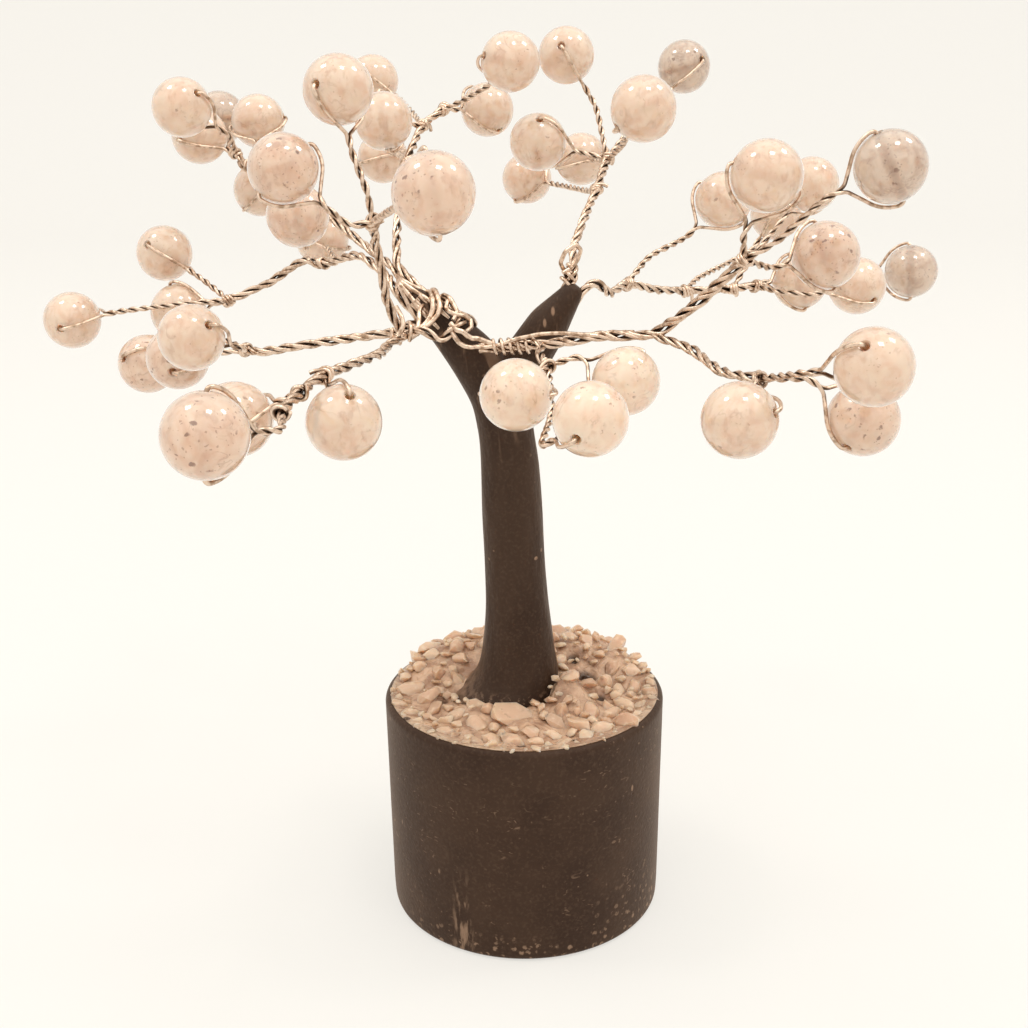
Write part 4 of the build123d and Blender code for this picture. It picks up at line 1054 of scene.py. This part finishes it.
def drilled_ball(middle, bore_way, neck_way):
    """A ball turned about its bore: along the ball's circle from one mouth of the bore to the
    other, over the chamfer there, back along the bore's wall and over the first chamfer."""
    mouth = np.degrees(np.arcsin((bore_radius + bore_chamfer) / bead_radius))
    ball = rounded_edge([0, 0], ball_radius, mouth - 90, 90 - mouth, 48)
    chamfer_height = np.cos(np.radians(mouth)) * bead_radius - bore_chamfer
    wall = np.linspace([bore_radius, chamfer_height], [bore_radius, -chamfer_height], 9)
    profile = np.vstack([ball, wall])[:, None]
    turn = np.linspace(0, 2 * np.pi, ball_sides, endpoint=False)[:, None]
    out_way = np.cos(turn) * neck_way + np.sin(turn) * np.cross(bore_way, neck_way)
    points, quads, _, tones = closed_skin(middle + profile[..., :1] * out_way + profile[..., 1:] * bore_way)
    j = np.arange(ball_sides)
    k = (j + 1) % ball_sides
    last = (len(profile) - 1) * ball_sides
    joined = np.vstack([quads, np.stack([last + j, last + k, k, j], 1)])
    return points[:-2], joined, np.empty((0, 3), int), tones[:-2]


def quartz(name, deep, pale, clear, grains, roughness=0.14):
    """Polished quartz: two tones in soft clouds, dark grains in loose clusters, and cracks that
    are thin lines where a cloud passes through its middle value."""
    finish, shader, place = new_finish(
        name, IOR=1.54, Roughness=roughness, Transmission_Weight=clear, Subsurface_Weight=0.4,
        Subsurface_Scale=3.0 * mm, Subsurface_Radius=(1.0, 0.75, 0.55), Coat_Weight=1.0,
        Coat_Roughness=0.04, Coat_IOR=1.6, Sheen_Weight=0.25, Sheen_Roughness=0.35)
    swirl = add_node(place, "TexNoise", {"Vector": place, "Scale": 1 / stir, "Detail": 3.0})["Color"]
    moved = {0: swirl, 1: (stir, stir, stir), 2: place}
    stirred = add_node(place, "VectorMath", moved, operation="MULTIPLY_ADD")[0]
    tone = patches(place, 2.0 * mm, 0.28, 0.62, detail=6.0, seed=0.35, distortion=0.8)
    colour = blended(tone, deep, pale)
    wisps = patches(place, 1.1 * mm, 0.5, 0.75, detail=6.0, seed=0.15, stretch=(1, 0.5, 1))
    colour = blended(times(wisps, 0.35), colour, (1.0, 0.86, 0.72, 1))
    vein = cloud(place, 3.5 * mm, detail=3.0, seed=0.45, distortion=1.0)
    crack = times(between(vein, 0.47, 0.5), between(vein, 0.53, 0.5),
                  patches(place, 3 * mm, 0.5, 0.6, seed=0.75), 0.35)
    cluster = patches(place, 2.6 * mm, 0.62 - grains * 0.2, 0.68 - grains * 0.2, seed=0.95)
    grit = times(specks(stirred, 0.5 * mm, 0.25, seed=0.65), cluster, 0.6)
    mottle = times(patches(place, 0.8 * mm, 0.50, 0.66, detail=6.0, seed=1.1, stretch=(1, 1, 0.55)),
                   patches(place, 4 * mm, 0.38, 0.55, seed=1.7), 0.3)
    flecks = times(specks(stirred, 1.25 * mm, 0.19, seed=0.25, stretch=(0.6, 1, 0.8)), cluster)
    marks = times(most_of(grit, flecks, crack), 0.4 + 0.45 * grains)
    colour = blended(mottle, colour, (0.50, 0.29, 0.19, 1))
    join(blended(marks, colour, (0.22, 0.10, 0.06, 1)), shader, "Base Color")
    return finish


milky_quartz = quartz("milky_quartz", (0.86, 0.60, 0.44, 1), (0.96, 0.745, 0.58, 1), 0.42, 0.4)
grainy_quartz = quartz("grainy_quartz", (0.81, 0.545, 0.395, 1), (0.92, 0.69, 0.53, 1), 0.42, 1.0)
pale_quartz = quartz("pale_quartz", (0.94, 0.665, 0.50, 1), (0.99, 0.775, 0.61, 1), 0.26, 0.5)
clear_quartz = quartz("clear_quartz", (0.60, 0.42, 0.305, 1), (0.82, 0.655, 0.52, 1), 0.62, 0.9, 0.12)
other_quartz = {
    pale_quartz: ["front_middle_1", "front_middle_2", "front_middle_3"],
    grainy_quartz: ["front_high_2", "front_high_3", "left_3", "left_2", "front_left_3", "front_right_3",
                    "back_left_high_1", "front_right_low_3"],
    clear_quartz: ["front_right_2", "back_right_4", "back_high_right_6", "back_left_high_6"],
}
stone_of = {short: stone for stone, shorts in other_quartz.items() for short in shorts}
for name, (middle, bore_way, neck_way) in beads.items():
    short = name.removeprefix("bead_")
    ball = drilled_ball(middle, bore_way, neck_way)
    make_piece(f"quartz_{short}", [ball], stone_of.get(short, milky_quartz), [name],
               body=name, crease=35)


# Studio: a pale floor that sweeps up behind the tree, soft light from all round, and
# three square lamps overhead, which the beads mirror as three small windows.
floor_front = -1.2
floor_back = 0.75
floor_curve = 0.3
wall_height = 1.3
floor_half_width = 1.6
floor_columns = 9
lamp_size = 0.11
lamp_energy = 0.45
lamp_distance = 0.6
lamp_target = np.array([0.0, 0.0, 0.09])
lamp_ways = [(-0.52, 0.03, 0.854), (0.21, -0.245, 0.945), (0.61, 0.132, 0.778)]

sweep = np.vstack([
    np.linspace([floor_front, 0], [floor_back, 0], 14)[:-1],
    rounded_edge([floor_back, floor_curve], floor_curve, -90, 0, 16),
    [[floor_back + floor_curve, wall_height]],
])
across = np.linspace(-floor_half_width, floor_half_width, floor_columns)
sweep_points = np.stack(np.broadcast_arrays(across, sweep[:, :1], sweep[:, 1:]), axis=-1).reshape(-1, 3)
corner = np.add.outer(np.arange(len(sweep) - 1) * floor_columns, np.arange(floor_columns - 1)).ravel()
sweep_faces = np.stack([corner, corner + 1, corner + floor_columns + 1, corner + floor_columns], 1)
floor_mesh = bpy.data.meshes.new("studio_floor")
floor_mesh.from_pydata(sweep_points.tolist(), [], sweep_faces.tolist())
floor_mesh.shade_smooth()
floor = bpy.data.objects.new("studio_floor", floor_mesh)
bpy.context.scene.collection.objects.link(floor)

paper, shader, place = new_finish(
    "studio_paper", Base_Color=(0.74, 0.72, 0.68, 1), Roughness=0.9, Specular_IOR_Level=0.0)
rays = add_node(place, "LightPath", {})
seen = most_of(rays["Is Camera Ray"], rays["Is Glossy Ray"], rays["Is Transmission Ray"])
glow = add_node(place, "Emission", {"Color": (1.0, 0.975, 0.925, 1), "Strength": 1.0})[0]
mixed = add_node(place, "MixShader", {0: times(seen, 0.6), 1: shader.outputs[0], 2: glow})[0]
join(mixed, paper.node_tree.nodes["Material Output"], "Surface")
floor_mesh.materials.append(paper)

sky = bpy.data.worlds.new("soft_studio_light")
sky.use_nodes = True
bpy.context.scene.world = sky
background = sky.node_tree.nodes["Background"]
background.inputs["Color"].default_value = (0.99, 0.965, 0.915, 1)
rays = add_node(background.inputs["Color"], "LightPath", {})
seen = most_of(rays["Is Camera Ray"], rays["Is Transmission Ray"])
way = add_node(seen, "TexCoord", {})["Generated"]
rise = between(add_node(way, "SeparateXYZ", {0: way})[2], -0.15, 1.0)
level = add_node(rise, "MapRange", {"Value": rise, "To Min": 0.75, "To Max": 1.55})[0]
join(add_node(seen, "Mix", {0: seen, 2: level, 3: 1.0}, data_type="FLOAT")[0], background, "Strength")

for number, way in enumerate(lamp_ways):
    lamp = bpy.data.lights.new(f"window_lamp_{number}", "AREA")
    lamp.shape = "SQUARE"
    lamp.size = lamp_size
    lamp.energy = lamp_energy
    lamp.color = (1.0, 0.97, 0.92)
    lamp_object = bpy.data.objects.new(f"window_lamp_{number}", lamp)
    side = np.cross([0, 1, 0], way)
    turn = Matrix(np.column_stack([side, np.cross(way, side), way]).tolist()).to_4x4().to_quaternion()
    stand = Matrix.Translation(lamp_target + lamp_distance * np.array(way))
    lamp_object.matrix_world = stand @ turn.to_matrix().to_4x4()
    bpy.context.scene.collection.objects.link(lamp_object)
